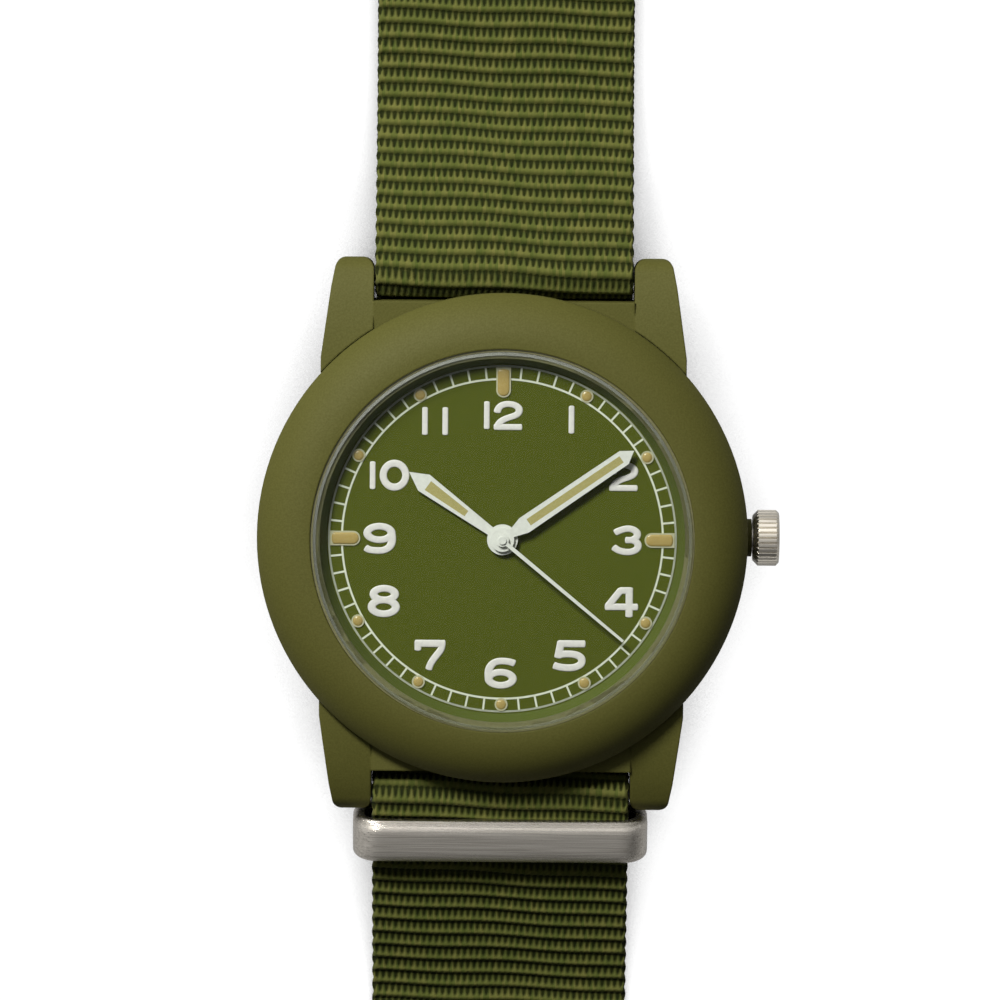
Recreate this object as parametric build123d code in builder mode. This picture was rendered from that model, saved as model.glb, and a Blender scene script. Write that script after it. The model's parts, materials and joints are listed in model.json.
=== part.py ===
from build123d import *
import os
from math import acos, atan2, cos, degrees, hypot, radians, sin, sqrt, tan

# Field watch lying flat on its open pull-through strap, in millimetres.
# Z is up from the floor, +Y points to 12 o'clock and +X to the crown at 3 o'clock.
# The dial axis is X = Y = 0.

# Overall sizes of the head
case_diameter = 37.6
lug_to_lug = 42.7
lug_gap = 20.0
dial_height = 6.2
webbing_thick = 1.1
webbing_width = 19.8
main_strap_tip_y = -174.0
buckle_bar_y = 94.0

# Clearances and small steps shared by the pieces
slip = 0.02
running_gap = 0.03
soft_gap = 0.05
overrun = 1.0
small_edge = 0.15
moulded_edge = 0.4

# The doubled webbing and the main strap lie under the head
webbing_layers = 3
back_z = webbing_layers * webbing_thick
dial_z = back_z + dial_height
half_gap = lug_gap / 2
half_width = webbing_width / 2
bezel_radius = case_diameter / 2

# Spring bars
bar_y = 20.1
bar_height = 2.4
bar_radius = 0.75
bar_bore = 0.43
bar_half_length = 8.9
tip_radius = 0.4
tip_travel = 0.9
tip_stub = 2.5
tip_reach = 0.95
tip_flange_radius = 0.65
tip_flange_thick = 0.12
spring_wall = 0.1
bar_z = back_z + bar_height

# Case middle and lugs
middle_radius = 18.2
middle_foot_radius = 17.2
middle_bore = 14.95
middle_foot_height = 0.45
shoulder_height = 4.85
collar_radius = 16.25
collar_height = 6.35
strap_clearance = 0.15
seat_radius = 15.7
seat_height = 0.95
lug_tip_half_width = 12.84
lug_mid_half_width = 13.25
lug_root_half_width = 14.0
lug_mid_y = 19.2
lug_root_y = 13.8
lug_inset_y = 10.5
lug_foot_height = 0.6
lug_root_height = 5.3
lug_waist_height = 4.85
lug_end_height = 3.75
lug_nose_height = 2.25
lug_waist_y = 17.0
lug_end_inset = 1.0
lug_nose_inset = 0.75
lug_corner = 0.9
lug_top_slopes = ((-1, 0.55), (-1, 0))
lug_hole_depth = 1.15
lug_hole_gap = 0.05
between_lugs_y = bar_y - bar_radius - webbing_thick - strap_clearance

# Bezel ring
bezel_wall_top = 5.9
bezel_dome_radius = 16.9
bezel_dome_height = 7.75
bezel_top_height = 8.25
bezel_bore = 14.67
bezel_floor_height = 7.4
bezel_ledge_radius = 14.25
bezel_ledge_under = 6.4
bezel_edge = 0.2

# Crystal and its gasket
crystal_radius = 14.45
crystal_thick = 1.0
crystal_chamfer = 0.22
gasket_foot = 0.15
gasket_foot_radius = 13.95

# Dial, its surrounding flange and the lume plots
dial_radius = 14.3
dial_thick = 0.4
dial_hole = 0.8
dial_foot_radius = 0.35
dial_foot_length = 1.2
dial_foot_place = 8.3
dial_foot_bearing = 75.0
flange_inner_radius = 13.45
flange_top_radius = 14.05
flange_outer_radius = 14.22
plot_track_radius = 13.17
plot_dot_radius = 0.5
plot_dot_place = 12.72
plot_bar_width = 1.12
plot_bar_length = 2.3
plot_thick = 0.12

# Hands
hand_thick = 0.12
hour_hand_lift = 0.35
minute_hand_lift = 0.65
second_hand_lift = 0.95
hour_hub_radius = 1.175
hour_hand_length = 8.82
hour_base_half = 0.345
hour_shoulder = 7.42
hour_shoulder_half = 0.75
hour_lume_start = 3.4
hour_lume_end = 7.05
hour_lume_start_half = 0.25
hour_lume_end_half = 0.42
minute_hub_radius = 0.9
minute_hand_length = 12.15
minute_base_half = 0.31
minute_near_shoulder = 2.0
minute_near_half = 0.655
minute_far_shoulder = 11.24
minute_far_half = 0.6
minute_lume_start = 2.42
minute_lume_end = 11.0
minute_lume_half = 0.29
second_hub_radius = 0.49
second_hand_length = 12.05
second_base_half = 0.15
second_tip_half = 0.1
second_cap_height = 0.14
second_cap_radius = 0.3
hour_clock_angle = 305.7
minute_clock_angle = 55.3
second_clock_angle = 129.6
hour_angle = 30

# Movement plates and ring
plate_radius = 9.7
plate_top = 5.3
plate_bottom = 4.3
bridge_bottom = 1.5
bridge_top = 2.0
bridge_radius = 4.95
bridge_x = 0.3
bridge_y = 0.9
ring_outer_radius = 14.85
ring_bottom = 2.2
ring_window_radius = 9.75
ring_pockets = 4
pillar_radius = 0.75
pillar_points = ((3.77, 2.64), (-5.2, 1.0), (0.2, -4.9))
screw_head_radius = 0.6
screw_head_thick = 0.3
screw_shank_radius = 0.3
screw_length = 1.6
screw_slot = 0.16
pivot_radius = 0.08
pivot_hole = 0.11
arbor_radius = 0.13
arbor_shoulder = 0.1

# Going train: teeth, modules and heights above the case back
rotor_leaves = 6
fifth_teeth = 36
fifth_leaves = 6
seconds_teeth = 30
seconds_leaves = 6
third_teeth = 45
third_leaves = 6
centre_teeth = 48
cannon_leaves = 10
minute_teeth = 30
minute_leaves = 8
hour_teeth = 32
setting_teeth = 12
rotor_module = 0.1
fifth_module = 0.145
third_module = 0.1
motion_module = 0.12
setting_module = 0.15
wheel_thick = 0.15
tooth_root_share = 0.3
tooth_tip_share = 0.12
addendum_share = 0.85
dedendum_share = 1.15
fifth_bearing = 150.0
rotor_bearing = 110.0
third_bearing = -50.0
minute_bearing = -20.0
fifth_wheel_level = 2.2
seconds_wheel_level = 2.6
seconds_pinion_level = 3.0
third_wheel_level = 3.1
third_pinion_level = 3.5
centre_wheel_level = 3.65
minute_wheel_level = 5.36
hour_wheel_level = 5.56
pinion_tall = 0.42
magnet_radius = 0.9
magnet_level = 3.0
magnet_thick = 0.5
seconds_arbor = 0.15
cannon_bore = 0.2
cannon_pipe = 0.38
hour_bore = 0.42
hour_pipe = 0.62
plate_centre_hole = 0.45

# Motor, battery and electronics
stator_level = 3.05
stator_thick = 0.4
stator_left = -6.9
stator_right = 2.9
stator_low_y = 1.95
stator_mid_y = 4.6
stator_top_y = 6.6
stator_leg = 1.3
stator_hole = 1.05
coil_radius = 0.9
coil_y = 5.9
coil_flange = 0.25
coil_flange_radius = 1.02
battery_radius = 3.4
battery_thick = 2.6
battery_x = -4.4
battery_y = -4.05
battery_bottom = 1.5
battery_gap = 0.12
battery_cap_radius = 2.6
battery_cap_thick = 0.25
clip_thick = 0.18
clip_width = 1.6
clip_reach = 3.6
clip_span = 5.0
board_left = 1.3
board_right = 6.3
board_low_y = -7.2
board_high_y = -4.6
board_level = 3.4
board_thick = 0.25
chip_size = 2.0
chip_thick = 0.35
quartz_radius = 0.75
quartz_length = 4.2
quartz_place_y = -5.4

# Crown, tube and keyless works
crown_height = 3.35
crown_gap = 0.45
crown_start = bezel_radius + crown_gap
crown_radius = 2.15
crown_length = 2.0
crown_flutes = 34
crown_flute_depth = 0.13
crown_outer_chamfer = 0.22
crown_inner_chamfer = 0.4
crown_cavity_radius = 1.3
crown_end_wall = 0.3
boss_radius = 1.45
boss_gap = 0.1
boss_end = crown_start - boss_gap
tube_radius = 0.95
tube_bore = 0.5
tube_start = 15.6
tube_reach = 1.45
tube_end = crown_start + tube_reach
crown_gasket_inset = 0.25
crown_gasket_start = crown_start + crown_gasket_inset
crown_gasket_length = 0.4
stem_radius = 0.45
stem_square = 0.5
stem_groove_radius = 0.25
stem_groove_start = 7.6
stem_groove_end = 8.1
stem_square_end = 7.35
stem_square_start = 5.6
stem_bearing_start = 9.0
stem_bearing_end = 9.6
sliding_start = 6.1
sliding_length = 1.2
sliding_radius = 0.7
sliding_groove_radius = 0.5
sliding_groove_width = 0.45
crown_travel = 0.8
pinion_travel = 0.35
sliding_teeth = 12
sliding_tooth_depth = 0.25
sliding_tooth_width = 0.18
setting_low_level = 3.75
setting_low_thick = 0.2
lever_thick = 0.25
lever_level = 3.85
lever_pivot_y = 3.0
lever_width = 0.9
lever_eye_radius = 0.68
yoke_pivot_y = -3.2
post_radius = 0.25
nib_radius = 0.2

# Case back
back_pad_radius = 12.6
back_slope_radius = 15.0
back_flange_radius = 15.6
back_slope_height = 0.45
back_flange_height = 0.6
back_plate_thick = 0.8
back_wall_radius = 14.3
back_wall_inner = 13.6
back_wall_height = 2.1
back_gasket_radius = 14.9
back_gasket_top = 1.6
back_notch = 1.2
back_notch_bearing = 225.0

# Webbing route
strap_slope = 22.0
strap_turn_radius = 1.2
strap_landing_radius = 12.0
strap_step_radius = 2.5
arc_stop = 2.0
under_start_y = 19.0
under_upper_start_y = 30.0
under_end_y = 57.0
fold_end_y = 57.3
weld_start_y = -11.0
under_lower_end_y = -16.5
tail_tip_corner = 6.0
tail_hole_radius = 1.0
tail_hole_pitch = 7.5
tail_hole_count = 9
tail_hole_first_y = -104.0

# Keepers: three like rings of bent flat steel
keeper_width = 22.8
keeper_strip = 3.4
keeper_thick = 0.9
keeper_spare_height = 1.3
keeper_inner_height = 2 * webbing_thick + keeper_spare_height
keeper_corner = 1.9
keeper_edge = 0.6
pocket_gap = 0.2
lower_keeper_tilt = 14.0
lower_keeper_reach = 3.496
lower_keeper_gap = 0.347
keeper_places_y = {"keeper_buckle": 87.5, "keeper_middle": 68.0}
pocket_run = 2.0
pocket_ramp = 2.6

# Buckle
buckle_bar_radius = 0.8
buckle_bar_half = 12.3
buckle_half_width = 12.9
buckle_side = 2.45
buckle_front_y = 108.6
buckle_front_bar = 3.0
buckle_thick = 1.8
buckle_corner = 4.0
buckle_ear_radius = 1.6
buckle_ear_run = 4.8
tongue_half_width = 1.1
tongue_eye_radius = 1.5
tongue_thick = 1.0
tongue_slot_half = 1.45
tongue_slot_reach = 3.0
tongue_tip_inset = 0.9
tongue_tip_thick = 0.8
tongue_belly = 0.4
tongue_tip_corner = 0.88

os.makedirs("parts", exist_ok=True)


def finish(part, name):
    part.label = name
    export_step(part, f"parts/{name}.step")


def level(height):
    """A horizontal plane at a height above the case back."""
    return Plane.XY.offset(back_z + height)


def across(x):
    """A plane that faces +X, at x."""
    return Plane.YZ.offset(x)


def stem_plane(x):
    """A plane that faces +X and is centred on the stem."""
    return Plane(origin=(x, 0, back_z + crown_height), x_dir=(0, 1, 0), z_dir=(1, 0, 0))


def gear_points(teeth, module, tooth_angle):
    """The corners of a gear with straight-sided teeth, one of them centred at tooth_angle."""
    root = module * (teeth / 2 - dedendum_share)
    tip = module * (teeth / 2 + addendum_share)
    pitch = 360 / teeth
    flanks = (
        (root, -tooth_root_share),
        (tip, -tooth_tip_share),
        (tip, tooth_tip_share),
        (root, tooth_root_share),
    )
    corners = []
    for tooth in range(teeth):
        middle = tooth_angle + tooth * pitch
        for radius, share in flanks:
            turn = radians(middle + share * pitch)
            corners.append((radius * cos(turn), radius * sin(turn)))
    return corners


def polar(distance, bearing, start=(0, 0)):
    """A point at a distance and bearing from another."""
    return (
        start[0] + distance * cos(radians(bearing)),
        start[1] + distance * sin(radians(bearing)),
    )


def clock_bearing(clock_angle):
    """The bearing of a hand turned clockwise from 12 by clock_angle."""
    return 90 - clock_angle


def bearing_to(start, end):
    return degrees(atan2(end[1] - start[1], end[0] - start[0]))


def facing_tooth(bearing, teeth):
    """The tooth angle of a gear whose gap faces a partner's tooth, met along bearing."""
    return bearing + 180 + 180 / teeth


# Case middle: the moulded body with its four lugs
lug_tip_y = lug_to_lug / 2

with BuildPart() as lug_blank:
    with BuildSketch(across(half_gap)):
        with BuildLine():
            foot = back_z + lug_foot_height
            nose = (lug_tip_y, back_z + lug_nose_height)
            end_top = (lug_tip_y - lug_end_inset, back_z + lug_end_height)
            end_foot = (lug_tip_y - lug_nose_inset, foot)
            waist = (lug_waist_y, back_z + lug_waist_height)
            root = (lug_inset_y, back_z + lug_root_height)
            Polyline(root, (lug_inset_y, foot), end_foot)
            ThreePointArc(end_foot, nose, end_top)
            Spline(end_top, waist, root, tangents=lug_top_slopes)
        make_face()
    extrude(amount=lug_root_half_width)
    with BuildSketch(level(0)):
        with BuildLine():
            Polyline(
                (half_gap, lug_inset_y),
                (half_gap, lug_tip_y),
                (lug_tip_half_width, lug_tip_y),
                (lug_mid_half_width, lug_mid_y),
                (lug_root_half_width, lug_root_y),
                (lug_root_half_width, lug_inset_y),
                close=True,
            )
        make_face()
        fillet(vertices().sort_by(Axis.Y)[-2:], lug_corner)
    extrude(amount=dial_height + overrun, mode=Mode.INTERSECT)
    with BuildSketch(level(shoulder_height)):
        Circle(bezel_radius + soft_gap)
    extrude(amount=dial_height, mode=Mode.SUBTRACT)

with BuildPart() as case_middle:
    with BuildSketch(Plane.XZ):
        with BuildLine():
            Polyline(
                (middle_bore, back_z + seat_height),
                (middle_bore, back_z + collar_height),
                (collar_radius, back_z + collar_height),
                (collar_radius, back_z + shoulder_height),
                (middle_radius, back_z + shoulder_height),
                (middle_radius, back_z + bar_height),
                (middle_foot_radius, back_z + middle_foot_height),
                (seat_radius, back_z + middle_foot_height),
                (seat_radius, back_z + seat_height),
                close=True,
            )
        make_face()
    revolve(axis=Axis.Z)
    with BuildSketch(level(middle_foot_height)):
        Rectangle(lug_gap, 2 * between_lugs_y)
        Circle(collar_radius, mode=Mode.SUBTRACT)
    extrude(amount=shoulder_height - middle_foot_height)
    with BuildSketch(level(middle_foot_height - overrun)):
        with Locations((0, between_lugs_y + half_gap), (0, -between_lugs_y - half_gap)):
            Rectangle(lug_gap, lug_gap)
    extrude(amount=shoulder_height + overrun, mode=Mode.SUBTRACT)
    for side in (1, -1):
        foot_edge = edges().filter_by(Axis.X).filter_by(
            lambda e: abs(e.center().Y - side * between_lugs_y) < slip
            and e.center().Z < back_z + bar_height
        )
        chamfer(foot_edge, moulded_edge / 2)
    add(lug_blank.part)
    mirror(lug_blank.part, about=Plane.XZ)
    mirror(lug_blank.part, about=Plane.YZ)
    mirror(mirror(lug_blank.part, about=Plane.XZ, mode=Mode.PRIVATE), about=Plane.YZ)
    with BuildSketch(level(0)):
        Circle(seat_radius)
    extrude(amount=seat_height, mode=Mode.SUBTRACT)
    with BuildSketch(level(0)):
        Circle(middle_bore)
    extrude(amount=collar_height + overrun, mode=Mode.SUBTRACT)
    with BuildSketch(stem_plane(middle_bore + overrun)):
        Circle(boss_radius)
    extrude(amount=boss_end - middle_bore - overrun)
    with BuildSketch(stem_plane(middle_bore - overrun)):
        Circle(tube_radius + slip)
    extrude(amount=boss_end - middle_bore + 2 * overrun, mode=Mode.SUBTRACT)
    for side in (1, -1):
        with BuildSketch(across(-half_gap - lug_hole_depth)):
            with Locations((side * bar_y, bar_z)):
                Circle(tip_radius + lug_hole_gap)
        extrude(amount=lug_gap + 2 * lug_hole_depth, mode=Mode.SUBTRACT)
finish(case_middle.part, "case_middle")

# Bezel: the domed ring that holds the crystal
with BuildPart() as bezel:
    with BuildSketch(Plane.XZ):
        with BuildLine():
            wall_top = (bezel_radius, back_z + bezel_wall_top)
            dome = (bezel_dome_radius, back_z + bezel_dome_height)
            rim_top = (bezel_bore, back_z + bezel_top_height)
            Polyline(
                rim_top,
                (bezel_bore, back_z + bezel_floor_height),
                (bezel_ledge_radius, back_z + bezel_floor_height),
                (bezel_ledge_radius, back_z + bezel_ledge_under),
                (collar_radius + slip, back_z + bezel_ledge_under),
                (collar_radius + slip, back_z + shoulder_height),
                (bezel_radius - bezel_edge, back_z + shoulder_height),
                (bezel_radius, back_z + shoulder_height + bezel_edge),
                wall_top,
            )
            ThreePointArc(wall_top, dome, rim_top)
        make_face()
    revolve(axis=Axis.Z)
finish(bezel.part, "bezel")

# Crystal: flat on top with a polished chamfer
crystal_bottom = bezel_floor_height + gasket_foot
with BuildPart() as crystal:
    with BuildSketch(level(crystal_bottom)):
        Circle(crystal_radius)
    extrude(amount=crystal_thick)
    chamfer(faces().sort_by(Axis.Z)[-1].edges(), crystal_chamfer)
    chamfer(faces().sort_by(Axis.Z)[0].edges(), small_edge / 2)
finish(crystal.part, "crystal")

with BuildPart() as crystal_gasket:
    with BuildSketch(level(bezel_floor_height)):
        Circle(bezel_bore - slip)
        Circle(gasket_foot_radius, mode=Mode.SUBTRACT)
    extrude(amount=gasket_foot)
    with BuildSketch(level(bezel_floor_height)):
        Circle(bezel_bore - slip)
        Circle(crystal_radius + slip, mode=Mode.SUBTRACT)
    extrude(amount=bezel_top_height - bezel_floor_height - small_edge)
finish(crystal_gasket.part, "crystal_gasket")

# Dial, the flange round it and the plots on it
dial_under = dial_height - dial_thick
with BuildPart() as dial:
    with BuildSketch(level(dial_under)):
        Circle(dial_radius)
        Circle(dial_hole, mode=Mode.SUBTRACT)
    extrude(amount=dial_thick)
    with BuildSketch(level(dial_under)):
        with PolarLocations(dial_foot_place, 2, start_angle=dial_foot_bearing):
            Circle(dial_foot_radius)
    extrude(amount=-dial_foot_length)
finish(dial.part, "dial")

with BuildPart() as dial_flange:
    with BuildSketch(Plane.XZ):
        with BuildLine():
            Polyline(
                (flange_inner_radius, dial_z),
                (flange_inner_radius, dial_z + small_edge),
                (flange_top_radius, back_z + bezel_floor_height),
                (flange_outer_radius, back_z + bezel_floor_height),
                (flange_outer_radius, dial_z),
                close=True,
            )
        make_face()
    revolve(axis=Axis.Z)
finish(dial_flange.part, "dial_flange")

with BuildPart() as hour_plots:
    with BuildSketch(level(dial_height)):
        for hour in range(1, 13):
            bearing = clock_bearing(hour * hour_angle)
            if hour in (3, 9, 12):
                with Locations(Rot(0, 0, bearing)):
                    bar_end = plot_track_radius - plot_bar_length + plot_bar_width / 2
                    with Locations(((plot_track_radius + bar_end) / 2, 0)):
                        Rectangle(plot_track_radius - bar_end, plot_bar_width)
                    with Locations((bar_end, 0)):
                        Circle(plot_bar_width / 2)
            else:
                with Locations(polar(plot_dot_place, bearing)):
                    Circle(plot_dot_radius)
    extrude(amount=plot_thick)
finish(hour_plots.part, "hour_plots")


# Hands: each lies along its own bearing, with its hub on the dial axis
def hand_plane(clock_angle, lift):
    bearing = radians(clock_bearing(clock_angle))
    return Plane(
        origin=(0, 0, dial_z + lift),
        x_dir=(cos(bearing), sin(bearing), 0),
        z_dir=(0, 0, 1),
    )


def lume_window(start, end, start_half, end_half):
    with BuildLine() as window:
        Polyline(
            (start, start_half), (end, end_half), (end, -end_half), (start, -start_half), close=True
        )
    make_face(window.edges())


with BuildPart() as hour_hand:
    with BuildSketch(hand_plane(hour_clock_angle, hour_hand_lift)):
        with BuildLine():
            Polyline(
                (0, hour_base_half),
                (hour_hub_radius, hour_base_half),
                (hour_shoulder, hour_shoulder_half),
                (hour_hand_length, 0),
                (hour_shoulder, -hour_shoulder_half),
                (hour_hub_radius, -hour_base_half),
                (0, -hour_base_half),
                close=True,
            )
        make_face()
        Circle(hour_hub_radius)
        with BuildSketch(mode=Mode.SUBTRACT):
            lume_window(hour_lume_start, hour_lume_end, hour_lume_start_half, hour_lume_end_half)
        Circle(hour_pipe, mode=Mode.SUBTRACT)
    extrude(amount=hand_thick)
finish(hour_hand.part, "hour_hand")

with BuildPart() as hour_hand_lume:
    with BuildSketch(hand_plane(hour_clock_angle, hour_hand_lift)):
        lume_window(hour_lume_start, hour_lume_end, hour_lume_start_half, hour_lume_end_half)
    extrude(amount=hand_thick)
finish(hour_hand_lume.part, "hour_hand_lume")

with BuildPart() as minute_hand:
    with BuildSketch(hand_plane(minute_clock_angle, minute_hand_lift)):
        with BuildLine():
            Polyline(
                (0, minute_base_half),
                (minute_hub_radius, minute_base_half),
                (minute_near_shoulder, minute_near_half),
                (minute_far_shoulder, minute_far_half),
                (minute_hand_length, 0),
                (minute_far_shoulder, -minute_far_half),
                (minute_near_shoulder, -minute_near_half),
                (minute_hub_radius, -minute_base_half),
                (0, -minute_base_half),
                close=True,
            )
        make_face()
        Circle(minute_hub_radius)
        with BuildSketch(mode=Mode.SUBTRACT):
            lume_window(minute_lume_start, minute_lume_end, minute_lume_half, minute_lume_half)
        Circle(cannon_pipe, mode=Mode.SUBTRACT)
    extrude(amount=hand_thick)
finish(minute_hand.part, "minute_hand")

with BuildPart() as minute_hand_lume:
    with BuildSketch(hand_plane(minute_clock_angle, minute_hand_lift)):
        lume_window(minute_lume_start, minute_lume_end, minute_lume_half, minute_lume_half)
    extrude(amount=hand_thick)
finish(minute_hand_lume.part, "minute_hand_lume")

with BuildPart() as second_hand:
    with BuildSketch(hand_plane(second_clock_angle, second_hand_lift)):
        with BuildLine():
            Polyline(
                (0, second_base_half),
                (second_hand_length, second_tip_half),
                (second_hand_length, -second_tip_half),
                (0, -second_base_half),
                close=True,
            )
        make_face()
        Circle(second_hub_radius)
    extrude(amount=hand_thick)
    with BuildSketch(hand_plane(second_clock_angle, second_hand_lift)):
        Circle(second_cap_radius)
    extrude(amount=hand_thick + second_cap_height)
    with BuildSketch(hand_plane(second_clock_angle, second_hand_lift)):
        Circle(seconds_arbor)
    extrude(amount=hand_thick, mode=Mode.SUBTRACT)
finish(second_hand.part, "second_hand")

# Going train places and tooth angles
fifth_place = polar(fifth_module * (fifth_leaves + seconds_teeth) / 2, fifth_bearing)
rotor_place = polar(rotor_module * (rotor_leaves + fifth_teeth) / 2, rotor_bearing, fifth_place)
train_distance = third_module * (seconds_leaves + third_teeth) / 2
centre_module = 2 * train_distance / (third_leaves + centre_teeth)
third_place = polar(train_distance, third_bearing)
motion_distance = motion_module * (cannon_leaves + minute_teeth) / 2
minute_place = polar(motion_distance, minute_bearing)
setting_distance = motion_module * (minute_teeth + setting_teeth) / 2
setting_place = (minute_place[0] + sqrt(setting_distance**2 - minute_place[1] ** 2), 0)
minute_tooth = facing_tooth(minute_bearing, minute_teeth)
setting_bearing = bearing_to(minute_place, setting_place)
minute_pitch = 360 / minute_teeth
minute_offset = (minute_tooth - setting_bearing) % minute_pitch
setting_tooth = setting_bearing + 180 - minute_offset * minute_teeth / setting_teeth
setting_tooth = setting_tooth + 180 / setting_teeth


def wheel_at(place, height):
    return Plane(origin=(place[0], place[1], back_z + height), z_dir=(0, 0, 1))


def toothed(place, height, thick, teeth, module, tooth_angle):
    """A toothed disc standing on a height above the case back, inside a part."""
    with BuildSketch(wheel_at(place, height)) as disc:
        Polygon(*gear_points(teeth, module, tooth_angle), align=None)
    extrude(disc.sketch, amount=thick)


def arbor(place, radius, bottom, top):
    with BuildSketch(wheel_at(place, bottom)) as section:
        Circle(radius)
    extrude(section.sketch, amount=top - bottom)


def tube_hole(place, radius, bottom, top):
    with BuildSketch(wheel_at(place, bottom)) as section:
        Circle(radius)
    extrude(section.sketch, amount=top - bottom, mode=Mode.SUBTRACT)


hour_hand_top = dial_height + hour_hand_lift + hand_thick
minute_hand_top = dial_height + minute_hand_lift + hand_thick
second_hand_top = dial_height + second_hand_lift + hand_thick

with BuildPart() as rotor:
    toothed(rotor_place, fifth_wheel_level - arbor_shoulder, pinion_tall, rotor_leaves,
            rotor_module, facing_tooth(rotor_bearing, rotor_leaves))
    arbor(rotor_place, arbor_radius, bridge_top + slip, plate_bottom - slip)
    arbor(rotor_place, magnet_radius, magnet_level, magnet_level + magnet_thick)
    arbor(rotor_place, pivot_radius, bridge_bottom + slip, plate_bottom + arbor_shoulder)
finish(rotor.part, "rotor")

with BuildPart() as fifth_wheel:
    toothed(fifth_place, fifth_wheel_level, wheel_thick, fifth_teeth, rotor_module,
            rotor_bearing)
    toothed(fifth_place, seconds_wheel_level - arbor_shoulder, pinion_tall, fifth_leaves,
            fifth_module, facing_tooth(fifth_bearing, fifth_leaves))
    arbor(fifth_place, arbor_radius, bridge_top + slip, plate_bottom - slip)
    arbor(fifth_place, pivot_radius, bridge_bottom + slip, plate_bottom + arbor_shoulder)
finish(fifth_wheel.part, "fifth_wheel")

with BuildPart() as seconds_wheel:
    toothed((0, 0), seconds_wheel_level, wheel_thick, seconds_teeth, fifth_module,
            fifth_bearing)
    toothed((0, 0), seconds_pinion_level, pinion_tall, seconds_leaves, third_module,
            third_bearing)
    arbor((0, 0), seconds_arbor, bridge_top + slip, second_hand_top - hand_thick / 2)
    arbor((0, 0), pivot_radius, bridge_bottom + slip, bridge_top + arbor_shoulder)
finish(seconds_wheel.part, "seconds_wheel")

with BuildPart() as third_wheel:
    toothed(third_place, third_wheel_level, wheel_thick, third_teeth, third_module,
            facing_tooth(third_bearing, third_teeth))
    toothed(third_place, third_pinion_level, pinion_tall, third_leaves, centre_module,
            third_bearing + 180)
    arbor(third_place, arbor_radius, bridge_top + slip, plate_bottom - slip)
    arbor(third_place, pivot_radius, bridge_bottom + slip, plate_bottom + arbor_shoulder)
finish(third_wheel.part, "third_wheel")

with BuildPart() as centre_wheel:
    toothed((0, 0), centre_wheel_level, wheel_thick, centre_teeth, centre_module,
            third_bearing + 180 / centre_teeth)
    arbor((0, 0), cannon_pipe, centre_wheel_level, minute_hand_top)
    toothed((0, 0), minute_wheel_level, wheel_thick, cannon_leaves, motion_module,
            minute_bearing)
    tube_hole((0, 0), cannon_bore, centre_wheel_level, minute_hand_top)
finish(centre_wheel.part, "centre_wheel")

with BuildPart() as minute_wheel:
    toothed(minute_place, minute_wheel_level, wheel_thick, minute_teeth, motion_module,
            minute_tooth)
    toothed(minute_place, minute_wheel_level + wheel_thick, wheel_thick + running_gap,
            minute_leaves, motion_module, minute_bearing + 180)
    arbor(minute_place, arbor_radius, plate_top - arbor_shoulder, minute_wheel_level)
finish(minute_wheel.part, "minute_wheel")

with BuildPart() as hour_wheel:
    toothed((0, 0), hour_wheel_level, wheel_thick, hour_teeth, motion_module,
            minute_bearing + 180 / hour_teeth)
    arbor((0, 0), hour_pipe, hour_wheel_level, hour_hand_top)
    tube_hole((0, 0), hour_bore, hour_wheel_level, hour_hand_top)
finish(hour_wheel.part, "hour_wheel")

with BuildPart() as setting_wheel:
    toothed(setting_place, minute_wheel_level, wheel_thick, setting_teeth, motion_module,
            setting_tooth)
    arbor(setting_place, arbor_radius, setting_low_level, minute_wheel_level)
    toothed(setting_place, setting_low_level, setting_low_thick, setting_teeth,
            setting_module, 0)
finish(setting_wheel.part, "setting_wheel")

# Movement plates
battery_place = (battery_x, battery_y)
quartz_x = (board_left + board_right) / 2
groove_middle = (stem_groove_start + stem_groove_end) / 2
pinion_groove_middle = sliding_start + sliding_length / 2
lever_pivot = (groove_middle + crown_travel / 2, lever_pivot_y)
yoke_pivot = (pinion_groove_middle - pinion_travel / 2, yoke_pivot_y)
train_places = (fifth_place, rotor_place, third_place)
stator_posts = (
    (stator_left + stator_leg / 2, stator_top_y - stator_leg / 2),
    (stator_right - stator_leg / 2, stator_top_y - stator_leg / 2),
)

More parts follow.
